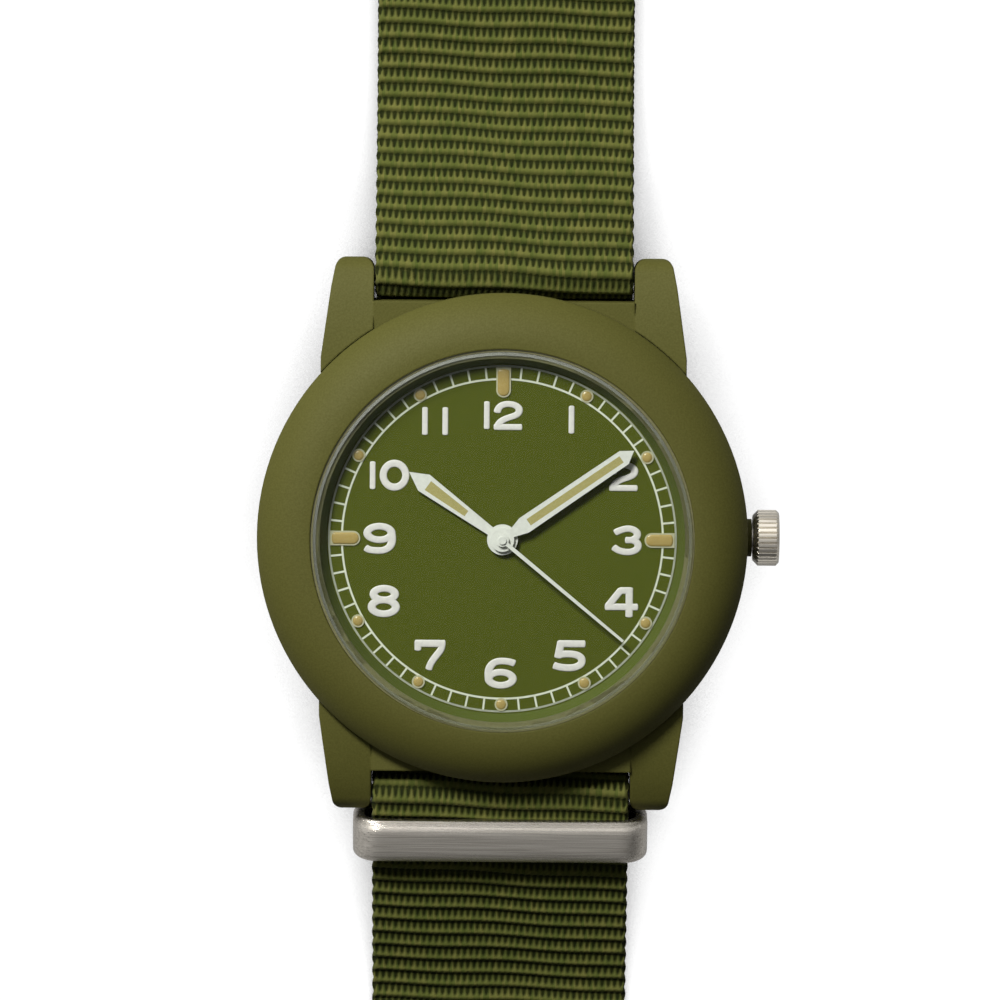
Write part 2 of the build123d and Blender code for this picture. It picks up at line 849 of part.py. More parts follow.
with BuildPart() as mainplate:
    with BuildSketch(level(plate_bottom)):
        Circle(plate_radius)
        with Locations((battery_x, battery_y)):
            Circle(battery_radius + battery_gap, mode=Mode.SUBTRACT)
    extrude(amount=plate_top - plate_bottom)
    with BuildSketch(level(bridge_top)):
        with Locations(*pillar_points):
            Circle(pillar_radius)
    extrude(amount=plate_bottom - bridge_top)
    with BuildSketch(stem_plane(stem_bearing_start)):
        with Locations((0, (plate_bottom - crown_height) / 2)):
            Rectangle(4 * stem_radius, plate_bottom - crown_height + 4 * stem_radius)
    extrude(amount=stem_bearing_end - stem_bearing_start)
    with BuildSketch(level(plate_bottom)):
        with Locations(lever_pivot, yoke_pivot):
            Circle(post_radius)
    extrude(amount=-lever_thick - arbor_shoulder * 2)
    with BuildSketch(level(plate_bottom)):
        with Locations(*stator_posts):
            Circle(2 * post_radius)
    extrude(amount=stator_level + stator_thick - plate_bottom)
    with BuildSketch(level(bridge_top - overrun)):
        Circle(plate_centre_hole)
        with Locations(setting_place):
            Circle(arbor_radius + running_gap)
        with Locations(*train_places):
            Circle(pivot_hole)
        with PolarLocations(dial_foot_place, 2, start_angle=dial_foot_bearing):
            Circle(dial_foot_radius + slip)
    extrude(amount=plate_top - bridge_top + 2 * overrun, mode=Mode.SUBTRACT)
    with BuildSketch(level(plate_top)):
        with Locations(minute_place):
            Circle(arbor_radius + running_gap)
    extrude(amount=-2 * arbor_shoulder, mode=Mode.SUBTRACT)
    with BuildSketch(stem_plane(stem_bearing_start)):
        Circle(stem_radius + running_gap)
    extrude(amount=stem_bearing_end - stem_bearing_start, mode=Mode.SUBTRACT)
    with BuildSketch(level(bridge_top)):
        with Locations(*pillar_points):
            Circle(screw_shank_radius + slip)
    extrude(amount=screw_length, mode=Mode.SUBTRACT)
finish(mainplate.part, "mainplate")

with BuildPart() as train_bridge:
    with BuildSketch(level(bridge_bottom)):
        with Locations((bridge_x, bridge_y)):
            Circle(bridge_radius)
        with Locations(*pillar_points):
            Circle(pillar_radius + moulded_edge)
        with Locations((battery_x, battery_y)):
            Circle(battery_radius + battery_gap, mode=Mode.SUBTRACT)
        Circle(pivot_hole, mode=Mode.SUBTRACT)
        with Locations(*train_places):
            Circle(pivot_hole, mode=Mode.SUBTRACT)
        with Locations(*pillar_points):
            Circle(screw_shank_radius + slip, mode=Mode.SUBTRACT)
    extrude(amount=bridge_top - bridge_bottom)
finish(train_bridge.part, "train_bridge")

with BuildPart() as movement_screws:
    with BuildSketch(level(bridge_bottom)):
        with Locations(*pillar_points):
            Circle(screw_shank_radius)
    extrude(amount=screw_length)
    with BuildSketch(level(bridge_bottom)):
        with Locations(*pillar_points):
            Circle(screw_head_radius)
    extrude(amount=-screw_head_thick)
    with BuildSketch(level(bridge_bottom - screw_head_thick)):
        with Locations(*pillar_points):
            Rectangle(2 * screw_head_radius, screw_slot)
    extrude(amount=screw_slot, mode=Mode.SUBTRACT)
finish(movement_screws.part, "movement_screws")

with BuildPart() as movement_ring:
    with BuildSketch(level(ring_bottom)):
        Circle(ring_outer_radius)
        Circle(ring_window_radius, mode=Mode.SUBTRACT)
    extrude(amount=dial_under - ring_bottom)
    with BuildSketch(level(ring_bottom)):
        pocket_turn = 180 / ring_pockets
        pocket_place = (ring_outer_radius + ring_window_radius) / 2
        with PolarLocations(pocket_place, ring_pockets, start_angle=pocket_turn):
            Circle((ring_outer_radius - ring_window_radius) / 2 - overrun)
    extrude(amount=dial_under - ring_bottom - overrun, mode=Mode.SUBTRACT)
    with BuildSketch(stem_plane(ring_window_radius - overrun)):
        Circle(stem_radius + running_gap * 2)
    extrude(amount=ring_outer_radius - ring_window_radius + 2 * overrun, mode=Mode.SUBTRACT)
finish(movement_ring.part, "movement_ring")

# Motor: stator, coil and its core
stator_width = stator_right - stator_left
with BuildPart() as stator:
    with BuildSketch(level(stator_level)):
        with BuildLine():
            Polyline(
                (stator_left, stator_low_y),
                (stator_right, stator_low_y),
                (stator_right, stator_top_y),
                (stator_right - stator_leg, stator_top_y),
                (stator_right - stator_leg, stator_mid_y),
                (stator_left + stator_leg, stator_mid_y),
                (stator_left + stator_leg, stator_top_y),
                (stator_left, stator_top_y),
                close=True,
            )
        make_face()
        fillet(vertices(), small_edge)
        with Locations(rotor_place):
            Circle(stator_hole, mode=Mode.SUBTRACT)
    extrude(amount=stator_thick)
finish(stator.part, "stator")

coil_start = stator_left + stator_leg
coil_length = stator_width - 2 * stator_leg
coil_axis_z = back_z + stator_level + stator_thick / 2
with BuildPart() as coil:
    with BuildSketch(across(coil_start + soft_gap)):
        with Locations((coil_y, coil_axis_z)):
            Circle(coil_radius)
    extrude(amount=coil_length - 2 * soft_gap)
    for x in (coil_start + soft_gap, coil_start + coil_length - soft_gap - coil_flange):
        with BuildSketch(across(x)):
            with Locations((coil_y, coil_axis_z)):
                Circle(coil_flange_radius)
        extrude(amount=coil_flange)
finish(coil.part, "coil")

with BuildPart() as battery:
    with BuildSketch(level(battery_bottom)):
        with Locations(battery_place):
            Circle(battery_radius)
    extrude(amount=battery_thick - battery_cap_thick)
    chamfer(faces().sort_by(Axis.Z)[0].edges(), small_edge)
    with BuildSketch(level(battery_bottom + battery_thick - battery_cap_thick)):
        with Locations(battery_place):
            Circle(battery_cap_radius)
    extrude(amount=battery_cap_thick)
finish(battery.part, "battery")

with BuildPart() as battery_clip:
    with BuildSketch(level(battery_bottom - clip_thick)):
        with Locations((battery_x, battery_y)):
            Rectangle(clip_span, clip_width)
        with Locations((battery_x, battery_y + clip_reach / 2)):
            Rectangle(clip_width, clip_reach)
    extrude(amount=clip_thick)
finish(battery_clip.part, "battery_clip")

with BuildPart() as circuit_board:
    with BuildSketch(level(board_level)):
        with Locations((quartz_x, (board_low_y + board_high_y) / 2)):
            RectangleRounded(board_right - board_left, board_high_y - board_low_y, moulded_edge)
    extrude(amount=board_thick)
    with BuildSketch(level(board_level + board_thick)):
        with Locations((quartz_x, (board_low_y + board_high_y) / 2)):
            Rectangle(chip_size, chip_size)
    extrude(amount=chip_thick)
    with BuildSketch(level(board_level + board_thick)):
        with Locations((board_left + overrun, board_low_y + overrun)):
            Circle(post_radius)
        with Locations((board_right - overrun, board_low_y + overrun)):
            Circle(post_radius)
    extrude(amount=plate_bottom - board_level - board_thick)
finish(circuit_board.part, "circuit_board")

with BuildPart() as quartz_can:
    quartz_z = back_z + board_level - quartz_radius - slip
    with BuildSketch(across(quartz_x - quartz_length / 2)):
        with Locations((quartz_place_y, quartz_z)):
            Circle(quartz_radius)
    extrude(amount=quartz_length)
    chamfer(edges().filter_by(GeomType.CIRCLE), small_edge)
finish(quartz_can.part, "quartz_can")

# Case back, its gasket and the crown tube
with BuildPart() as case_back:
    with BuildSketch(Plane.XZ):
        with BuildLine():
            Polyline(
                (0, back_z),
                (back_pad_radius, back_z),
                (back_slope_radius, back_z + back_slope_height),
                (back_flange_radius, back_z + back_flange_height),
                (back_flange_radius, back_z + seat_height),
                (back_wall_radius, back_z + seat_height),
                (back_wall_radius, back_z + back_wall_height),
                (back_wall_inner, back_z + back_wall_height),
                (back_wall_inner, back_z + back_plate_thick),
                (0, back_z + back_plate_thick),
                close=True,
            )
        make_face()
    revolve(axis=Axis.Z)
    with BuildSketch(level(back_flange_height - overrun)):
        with Locations(polar(back_flange_radius + back_notch / 2, back_notch_bearing)):
            Rectangle(2 * back_notch, 2 * back_notch, rotation=back_notch_bearing)
    extrude(amount=overrun + small_edge, mode=Mode.SUBTRACT)
finish(case_back.part, "case_back")

with BuildPart() as case_back_gasket:
    with BuildSketch(level(seat_height)):
        Circle(back_gasket_radius)
        Circle(back_wall_radius + slip, mode=Mode.SUBTRACT)
    extrude(amount=back_gasket_top - seat_height)
finish(case_back_gasket.part, "case_back_gasket")

with BuildPart() as crown_tube:
    with BuildSketch(stem_plane(tube_start)):
        Circle(tube_radius)
        Circle(tube_bore, mode=Mode.SUBTRACT)
    extrude(amount=tube_end - tube_start)
finish(crown_tube.part, "crown_tube")

# Crown, its gasket and the stem
crown_end = crown_start + crown_length
with BuildPart() as crown:
    with BuildSketch(stem_plane(crown_start)):
        Circle(crown_radius)
    extrude(amount=crown_length)
    chamfer(faces().sort_by(Axis.X)[0].edges(), crown_inner_chamfer)
    chamfer(faces().sort_by(Axis.X)[-1].edges(), crown_outer_chamfer)
    with BuildSketch(stem_plane(crown_start - overrun)):
        with PolarLocations(crown_radius + crown_flute_depth, crown_flutes):
            RegularPolygon(2 * crown_flute_depth, 3, rotation=180)
    extrude(amount=crown_length + 2 * overrun, mode=Mode.SUBTRACT)
    with BuildSketch(stem_plane(crown_start)):
        Circle(crown_cavity_radius)
    extrude(amount=crown_length - crown_end_wall, mode=Mode.SUBTRACT)
finish(crown.part, "crown")

with BuildPart() as crown_gasket:
    with BuildSketch(stem_plane(crown_gasket_start)):
        Circle(crown_cavity_radius - slip)
        Circle(tube_radius + slip, mode=Mode.SUBTRACT)
    extrude(amount=crown_gasket_length)
finish(crown_gasket.part, "crown_gasket")

with BuildPart() as stem:
    with BuildSketch(stem_plane(stem_square_end)):
        Circle(stem_radius)
    extrude(amount=crown_end - crown_end_wall - stem_square_end)
    with BuildSketch(stem_plane(stem_groove_start)):
        Circle(stem_radius + overrun)
        Circle(stem_groove_radius, mode=Mode.SUBTRACT)
    extrude(amount=stem_groove_end - stem_groove_start, mode=Mode.SUBTRACT)
    with BuildSketch(stem_plane(stem_square_start)):
        Rectangle(stem_square, stem_square)
    extrude(amount=stem_square_end - stem_square_start)
finish(stem.part, "stem")

with BuildPart() as sliding_pinion:
    with BuildSketch(stem_plane(sliding_start)):
        Circle(sliding_radius)
    extrude(amount=sliding_length)
    groove_start = sliding_start + (sliding_length - sliding_groove_width) / 2
    with BuildSketch(stem_plane(groove_start)):
        Circle(sliding_radius + overrun)
        Circle(sliding_groove_radius, mode=Mode.SUBTRACT)
    extrude(amount=sliding_groove_width, mode=Mode.SUBTRACT)
    with BuildSketch(stem_plane(sliding_start)):
        with PolarLocations(sliding_radius, sliding_teeth):
            Rectangle(sliding_radius, sliding_tooth_width)
    extrude(amount=sliding_tooth_depth, mode=Mode.SUBTRACT)
    with BuildSketch(stem_plane(sliding_start)):
        Rectangle(stem_square + 2 * running_gap, stem_square + 2 * running_gap)
    extrude(amount=sliding_length, mode=Mode.SUBTRACT)
finish(sliding_pinion.part, "sliding_pinion")


# Setting lever and yoke: flat plates on posts, each with a nib in its groove
def keyless_lever(pivot, nib_x, groove_radius):
    """A plate from its pivot to a round nib that hangs in a groove beside the stem."""
    side = 1 if pivot[1] > 0 else -1
    nib_y = side * (groove_radius + nib_radius + slip)
    shoulder = (nib_x, nib_y + side * lever_width)
    with BuildSketch(level(lever_level)) as plate:
        with BuildLine() as spine:
            Line(pivot, shoulder)
        trace(spine.edges(), line_width=lever_width)
        with Locations(pivot):
            Circle(lever_eye_radius)
        with Locations(shoulder):
            Circle(lever_width / 2)
        with Locations((nib_x, nib_y + side * lever_width / 2)):
            Rectangle(2 * nib_radius, lever_width)
        with Locations((nib_x, nib_y)):
            Circle(nib_radius)
        with Locations(pivot):
            Circle(post_radius + slip, mode=Mode.SUBTRACT)
    extrude(plate.sketch, amount=lever_thick)
    with BuildSketch(level(crown_height)) as nib:
        with Locations((nib_x, nib_y)):
            Circle(nib_radius)
    extrude(nib.sketch, amount=lever_level - crown_height)


with BuildPart() as setting_lever:
    keyless_lever(lever_pivot, groove_middle, stem_groove_radius)
finish(setting_lever.part, "setting_lever")

with BuildPart() as yoke:
    keyless_lever(yoke_pivot, pinion_groove_middle, sliding_groove_radius)
finish(yoke.part, "yoke")

# Spring bars: a tube each, two sprung tips and the spring between them
bar_centres = {"upper": bar_y, "lower": -bar_y}


def bar_plane(x, y):
    return Plane(origin=(x, y, bar_z), x_dir=(0, 1, 0), z_dir=(1, 0, 0))


with BuildPart() as spring_bars:
    for y in bar_centres.values():
        with BuildSketch(bar_plane(-bar_half_length, y)):
            Circle(bar_radius)
            Circle(bar_bore, mode=Mode.SUBTRACT)
        extrude(amount=2 * bar_half_length)
finish(spring_bars.part, "spring_bars")

spring_half = bar_half_length - tip_stub - slip
with BuildPart() as spring_bar_springs:
    for y in bar_centres.values():
        with BuildSketch(bar_plane(-spring_half, y)):
            Circle(tip_radius)
            Circle(tip_radius - spring_wall, mode=Mode.SUBTRACT)
        extrude(amount=2 * spring_half)
finish(spring_bar_springs.part, "spring_bar_springs")

tip_end = half_gap + tip_reach
flange_x = bar_half_length + tip_travel + soft_gap
for place, y in bar_centres.items():
    for hand, side in (("left", -1), ("right", 1)):
        with BuildPart() as bar_tip:
            with BuildSketch(bar_plane(side * (bar_half_length - tip_stub), y)):
                Circle(tip_radius)
            extrude(amount=side * (tip_end - bar_half_length + tip_stub))
            with BuildSketch(bar_plane(side * flange_x, y)):
                Circle(tip_flange_radius)
            extrude(amount=side * tip_flange_thick)
        finish(bar_tip.part, f"{place}_{hand}_bar_tip")

# Main strap: one length of webbing, in three stretches that bend at the spring bars
wrap_radius = bar_radius + running_gap + webbing_thick / 2
centre_level = back_z - webbing_thick / 2
slot_y = bar_y - wrap_radius
turn_y = slot_y - strap_turn_radius
turn_z = centre_level + strap_turn_radius

with BuildPart() as main_strap_centre:
    with BuildSketch(Plane.YZ):
        with BuildLine():
            for side, start, sweep_angle in ((1, 90 - arc_stop, 90 + arc_stop),
                                             (-1, 90 + arc_stop, -90 - arc_stop)):
                CenterArc((side * bar_y, bar_z), wrap_radius, start, sweep_angle)
                Line((side * slot_y, bar_z), (side * slot_y, turn_z))
                CenterArc((side * turn_y, turn_z), strap_turn_radius, 90 - side * 90, -side * 90)
            Line((turn_y, centre_level), (-turn_y, centre_level))
        trace(line_width=webbing_thick)
    extrude(amount=half_width, both=True)
finish(main_strap_centre.part, "main_strap_centre")

leave_y = bar_y + wrap_radius * sin(radians(strap_slope))
leave_z = bar_z + wrap_radius * cos(radians(strap_slope))


def landing_y(floor_level):
    """Where the sloping strap reaches a level, outward from the dial axis."""
    return leave_y + (leave_z - floor_level) / tan(radians(strap_slope))


floor_level = webbing_thick / 2
upper_level = webbing_thick * 3 / 2 + soft_gap
fold_radius = buckle_bar_radius + running_gap + webbing_thick / 2
buckle_bar_z = floor_level + fold_radius
pocket_level = webbing_thick + keeper_thick + 2 * pocket_gap + webbing_thick / 2
buckle_pocket = keeper_places_y["keeper_buckle"] - pocket_run
middle_pocket = keeper_places_y["keeper_middle"]

with BuildPart() as main_strap_upper:
    with BuildSketch(Plane.YZ):
        with BuildLine():
            FilletPolyline(
                (leave_y, leave_z),
                (landing_y(upper_level), upper_level),
                (middle_pocket - pocket_run - pocket_ramp, upper_level),
                (middle_pocket - pocket_run, pocket_level),
                (middle_pocket + pocket_run, pocket_level),
                (middle_pocket + pocket_run + pocket_ramp, upper_level),
                (buckle_pocket - pocket_ramp, upper_level),
                (buckle_pocket, buckle_bar_z + fold_radius),
                (buckle_bar_y, buckle_bar_z + fold_radius),
                radius=[strap_landing_radius, *[strap_step_radius] * 6],
            )
            CenterArc((buckle_bar_y, buckle_bar_z), fold_radius, 90, -180)
            Line((buckle_bar_y, floor_level), (fold_end_y, floor_level))
        trace(line_width=webbing_thick)
    extrude(amount=half_width, both=True)
    with BuildSketch(Plane.XY):
        with Locations((0, buckle_bar_y - tongue_slot_reach + lug_gap / 2)):
            Rectangle(2 * tongue_slot_half, lug_gap)
    extrude(amount=back_z * 2, mode=Mode.SUBTRACT)
finish(main_strap_upper.part, "main_strap_upper")

with BuildPart() as main_strap_tail:
    with BuildSketch(Plane.YZ):
        with BuildLine():
            FilletPolyline(
                (-leave_y, leave_z),
                (-landing_y(floor_level), floor_level),
                (main_strap_tip_y, floor_level),
                radius=strap_landing_radius,
            )
        trace(line_width=webbing_thick)
    extrude(amount=half_width, both=True)
    tip_corners = edges().filter_by(Axis.Z).group_by(Axis.Y)[0]
    fillet(tip_corners, tail_tip_corner)
    with BuildSketch(Plane.XY):
        for hole in range(tail_hole_count):
            with Locations((0, tail_hole_first_y - hole * tail_hole_pitch)):
                Circle(tail_hole_radius)
    extrude(amount=webbing_thick, mode=Mode.SUBTRACT)
finish(main_strap_tail.part, "main_strap_tail")


# Under-strap: the short length that passes below the head and ends in a loop
def flat_webbing(start_y, end_y, bottom, thick):
    with BuildSketch(Plane.XY.offset(bottom)) as stretch:
        with Locations((0, (start_y + end_y) / 2)):
            Rectangle(webbing_width, end_y - start_y)
    extrude(stretch.sketch, amount=thick)


with BuildPart() as under_strap_centre:
    flat_webbing(under_lower_end_y, under_start_y, 0, webbing_thick)
    flat_webbing(under_lower_end_y, weld_start_y, 0, 2 * webbing_thick)
finish(under_strap_centre.part, "under_strap_centre")

with BuildPart() as under_strap_upper:
    flat_webbing(under_upper_start_y, under_end_y, 0, webbing_thick)
finish(under_strap_upper.part, "under_strap_upper")

with BuildPart() as under_strap_upper_bend:
    flat_webbing(under_start_y, under_upper_start_y, 0, webbing_thick)
finish(under_strap_upper_bend.part, "under_strap_upper_bend")

# The lower keeper's front plate lies over the sloping strap and sets where its back strip is
tilt = radians(lower_keeper_tilt)
front_plate_y = bar_y + lower_keeper_reach
strap_top_z = (
    leave_z
    - (front_plate_y - leave_y) * tan(radians(strap_slope))
    + webbing_thick / 2 / cos(radians(strap_slope))
)
front_plate_rise = keeper_thick / 2 + keeper_inner_height
lower_keeper_y = front_plate_rise * sin(tilt) - front_plate_y
lower_keeper_z = strap_top_z + lower_keeper_gap - front_plate_rise * cos(tilt)

# The loop goes over the lower keeper's back strip, round its far edge and back underneath
strip_reach = (keeper_strip - keeper_thick) / 2
loop_radius = keeper_thick / 2 + pocket_gap + webbing_thick / 2
loop_near = (lower_keeper_y + strip_reach * cos(tilt), lower_keeper_z + strip_reach * sin(tilt))
loop_far = (lower_keeper_y - strip_reach * cos(tilt), lower_keeper_z - strip_reach * sin(tilt))
loop_wall_y = loop_near[0] + loop_radius
loop_start_y = loop_wall_y + webbing_thick / 2

with BuildPart() as under_strap_lower_bend:
    flat_webbing(loop_start_y + soft_gap, under_lower_end_y, 0, 2 * webbing_thick)
finish(under_strap_lower_bend.part, "under_strap_lower_bend")

weld_end = (loop_wall_y, floor_level)
weld_distance = hypot(weld_end[0] - loop_far[0], weld_end[1] - loop_far[1])
loop_last = bearing_to(loop_far, weld_end) - degrees(acos(loop_radius / weld_distance))
loop_top = 90 + lower_keeper_tilt

with BuildPart() as under_strap_loop:
    with BuildSketch(Plane.YZ):
        with BuildLine():
            Line((loop_wall_y, webbing_thick), (loop_wall_y, loop_near[1]))
            CenterArc(loop_near, loop_radius, 0, loop_top)
            Line(
                polar(loop_radius, loop_top, loop_near),
                polar(loop_radius, loop_top, loop_far),
            )
            CenterArc(loop_far, loop_radius, loop_top, loop_last + 360 - loop_top)
            Line(polar(loop_radius, loop_last, loop_far), weld_end)
        trace(line_width=webbing_thick)
        with Locations((loop_start_y - webbing_thick / 2, webbing_thick)):
            Rectangle(webbing_thick, 2 * webbing_thick)
    extrude(amount=half_width, both=True)
finish(under_strap_loop.part, "under_strap_loop")


# Keepers: bent flat rings whose back strip the webbing traps
def keeper_ring(origin, tilt_angle):
    """A ring round the strap; origin is the middle of its back strip."""
    outer_height = keeper_inner_height + 2 * keeper_thick
    plane = Plane(
        origin=origin,
        x_dir=(1, 0, 0),
        z_dir=(0, -cos(tilt_angle), -sin(tilt_angle)),
    )
    with BuildSketch(plane) as ring:
        with Locations((0, outer_height / 2 - keeper_thick / 2)):
            RectangleRounded(keeper_width, outer_height, keeper_corner)
            RectangleRounded(
                keeper_width - 2 * keeper_thick,
                keeper_inner_height,
                keeper_corner - keeper_thick,
                mode=Mode.SUBTRACT,
            )
    extrude(ring.sketch, amount=keeper_strip / 2, both=True)
    ends = faces().filter_by(lambda f: abs(f.normal_at().dot(plane.z_dir)) > 1 - slip)
    fillet([rim for end in ends for rim in end.outer_wire().edges()], keeper_edge)


with BuildPart() as keeper_lower:
    keeper_ring((0, lower_keeper_y, lower_keeper_z), tilt)
finish(keeper_lower.part, "keeper_lower")

strip_z = webbing_thick + pocket_gap + keeper_thick / 2
for name, y in keeper_places_y.items():
    with BuildPart() as keeper:
        keeper_ring((0, y, strip_z), 0)
    finish(keeper.part, name)

# Buckle: frame, bar and tongue on one axis
with BuildPart() as buckle_bar:
    with BuildSketch(across(-buckle_bar_half)):
        with Locations((buckle_bar_y, buckle_bar_z)):
            Circle(buckle_bar_radius)
    extrude(amount=2 * buckle_bar_half)
finish(buckle_bar.part, "buckle_bar")

buckle_length = buckle_front_y - buckle_bar_y
buckle_middle_y = (buckle_front_y + buckle_bar_y) / 2
with BuildPart() as buckle_frame:
    with BuildSketch(Plane.XY):
        with Locations((0, buckle_middle_y)):
            Rectangle(2 * buckle_half_width, buckle_length)
        fillet(vertices().group_by(Axis.Y)[-1], buckle_corner)
        window_length = buckle_length - buckle_front_bar
        with Locations((0, buckle_bar_y + window_length / 2)):
            Rectangle(2 * (buckle_half_width - buckle_side), window_length, mode=Mode.SUBTRACT)
        inner_corners = vertices().filter_by(
            lambda v: abs(v.Y - buckle_front_y + buckle_front_bar) < slip
            and abs(v.X) < buckle_half_width - slip
        )
        fillet(inner_corners, buckle_corner - buckle_side)
    extrude(amount=buckle_thick)
    for side in (-1, 1):
        outer_x = side * buckle_half_width
        with BuildSketch(across(outer_x)):
            with Locations((buckle_bar_y, buckle_bar_z)):
                Circle(buckle_ear_radius)
            with BuildLine():
                Polyline(
                    (buckle_bar_y, buckle_bar_z + buckle_ear_radius),
                    (buckle_bar_y + buckle_ear_run, buckle_thick),
                    (buckle_bar_y + buckle_ear_run, 0),
                    (buckle_bar_y, buckle_bar_z - buckle_ear_radius),
                    close=True,
                )
            make_face()
        extrude(amount=-side * buckle_side)
    with BuildSketch(across(-buckle_bar_half)):
        with Locations((buckle_bar_y, buckle_bar_z)):
            Circle(buckle_bar_radius + running_gap)
    extrude(amount=2 * buckle_bar_half, mode=Mode.SUBTRACT)
finish(buckle_frame.part, "buckle_frame")

tongue_rest = buckle_thick + soft_gap
tongue_tip_y = buckle_front_y - tongue_tip_inset
with BuildPart() as buckle_tongue:
    with BuildSketch(across(-tongue_half_width)):
        with BuildLine():
            Polyline(
                (buckle_bar_y, buckle_bar_z + tongue_eye_radius),
                (buckle_front_y - buckle_front_bar - tongue_thick, tongue_rest + tongue_thick),
                (tongue_tip_y, tongue_rest + tongue_tip_thick),
                (tongue_tip_y, tongue_rest),
                (buckle_front_y - buckle_front_bar - tongue_thick, tongue_rest),
                (buckle_bar_y + tongue_eye_radius, buckle_bar_z - tongue_belly),
                (buckle_bar_y, buckle_bar_z),
                close=True,
            )
        make_face()
        with Locations((buckle_bar_y, buckle_bar_z)):
            Circle(tongue_eye_radius)
            Circle(buckle_bar_radius + running_gap, mode=Mode.SUBTRACT)
    extrude(amount=2 * tongue_half_width)
    tongue_tip = edges().filter_by(Axis.Z).group_by(Axis.Y)[-1]
    fillet(tongue_tip, tongue_tip_corner)
finish(buckle_tongue.part, "buckle_tongue")
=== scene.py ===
import json
from math import acos, atan2, cos, degrees, hypot, pi, radians, sin, tan

import bpy
import numpy as np
from mathutils import Matrix, Vector


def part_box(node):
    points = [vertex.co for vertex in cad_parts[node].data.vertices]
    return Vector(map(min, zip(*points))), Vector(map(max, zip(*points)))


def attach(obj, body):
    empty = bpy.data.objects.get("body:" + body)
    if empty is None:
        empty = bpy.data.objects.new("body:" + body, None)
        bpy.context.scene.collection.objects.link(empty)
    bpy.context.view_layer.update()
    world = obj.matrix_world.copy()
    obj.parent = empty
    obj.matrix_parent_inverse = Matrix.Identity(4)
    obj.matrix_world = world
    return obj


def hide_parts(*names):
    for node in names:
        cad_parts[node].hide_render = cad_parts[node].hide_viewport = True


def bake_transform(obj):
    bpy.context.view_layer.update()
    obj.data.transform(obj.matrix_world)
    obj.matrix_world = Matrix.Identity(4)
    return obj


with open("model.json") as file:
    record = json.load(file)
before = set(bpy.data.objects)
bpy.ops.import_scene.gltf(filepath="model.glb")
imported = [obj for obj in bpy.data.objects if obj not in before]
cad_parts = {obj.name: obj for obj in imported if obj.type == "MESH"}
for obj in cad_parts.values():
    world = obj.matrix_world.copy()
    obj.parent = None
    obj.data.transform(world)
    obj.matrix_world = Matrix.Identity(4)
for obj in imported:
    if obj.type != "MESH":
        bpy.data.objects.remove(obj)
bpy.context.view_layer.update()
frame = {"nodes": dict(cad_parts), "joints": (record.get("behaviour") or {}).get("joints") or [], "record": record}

# Shapes are worked out in millimetres and scaled to metres when they become meshes.
mm = 0.001


def corners(node):
    """The lowest and highest corners of a frame node, in millimetres."""
    low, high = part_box(node)
    return Vector(low) / mm, Vector(high) / mm


def joint_place(name):
    """A joint's place in millimetres."""
    joint = next(j for j in frame["joints"] if j["name"] == name)
    return Vector(joint["pos_m"]) / mm


# Places taken from the frame
webbing_low, webbing_high = corners("under_strap_upper")
webbing_thick = webbing_high.z - webbing_low.z
edge_room = 0.04
half_width = webbing_high.x + edge_room
under_end_y = webbing_high.y
bar_place = joint_place("upper_strap_swing")
bar_y, bar_z = bar_place.y, bar_place.z
bar_radius = bar_z - corners("spring_bars")[0].z
buckle_place = joint_place("buckle_swing")
keeper_places = [joint_place("middle_keeper_tilt"), joint_place("buckle_keeper_tilt")]
back_z = corners("case_back")[0].z
dial_z = corners("dial")[1].z
tail_tip_y = corners("main_strap_tail")[0].y
fold_overhang = 0.3
fold_end_y = under_end_y + fold_overhang

# Webbing: the weave's pitches, how far each rib reaches to its two sides, and the pits' depth
rib_pitch = 1.16
yarn_pitch = 0.49
pit_depth = 0.36
crest_share = 0.2
upper_reach = (0.14, 0.62)
lower_reach = (0.33, 0.48)
rib_samples = (0.0, 0.125, 0.25, 0.375, 0.5, 0.625, 0.75, 0.875)
column_step = yarn_pitch / 2
column_room = 0.05
edge_steps = (0.0, 0.07, 0.18, 0.33)
edge_bead = 0.06
edge_thinning = 0.8
end_steps = (0.0, 0.1, 0.2, 0.35)
end_round = end_steps[-1]
heading_reach = 0.02
rib_skew = 0.038
rib_wander = 0.13
wander_across = 0.42
wander_along = 0.21
skew_start = 1.0
skew_fade = 9.0
hole_calm = 3.0

# The straps: their slope, bends, pockets for the keepers, holes, tip and slot
strap_slope = radians(22.0)
wrap_gap = 0.03
turn_radius = 1.2
landing_radius = 12.0
step_radius = 2.5
keeper_gap = 0.2
keeper_thick = 0.9
pocket_run = 2.0
pocket_ramp = 2.6
buckle_bar_radius = 0.8
hole_radius = 1.0
hole_reach = 2.3
hole_cut = 0.8 * yarn_pitch
hole_pull = 1.3
hole_seal_width = 0.35
hole_seal_fade = 0.2
hole_first_y = -104.0
hole_pitch = 7.5
hole_count = 9
tip_corner = 6.0
slot_half = 1.5
slot_run = 3.0
slot_start_y = buckle_place.y - slot_run
layer_gap = 0.05

# Camera, as the photograph shows the watch: nearly overhead, leaning towards 12 o'clock
camera_distance = 460.0
camera_lean = radians(5.0)
camera_roll = radians(0.45)
photo_pixels = 1000
pixels_per_mm = 13.08
sensor_width = 36.0
dial_pixel = (502.7, 539.2)


def linear(red, green, blue):
    """A colour given as it looks on a screen, from 0 to 255, as the renderer's numbers."""
    parts = []
    for value in (red, green, blue):
        share = value / 255
        parts.append(share / 12.92 if share <= 0.04045 else ((share + 0.055) / 1.055) ** 2.4)
    return (*parts, 1.0)


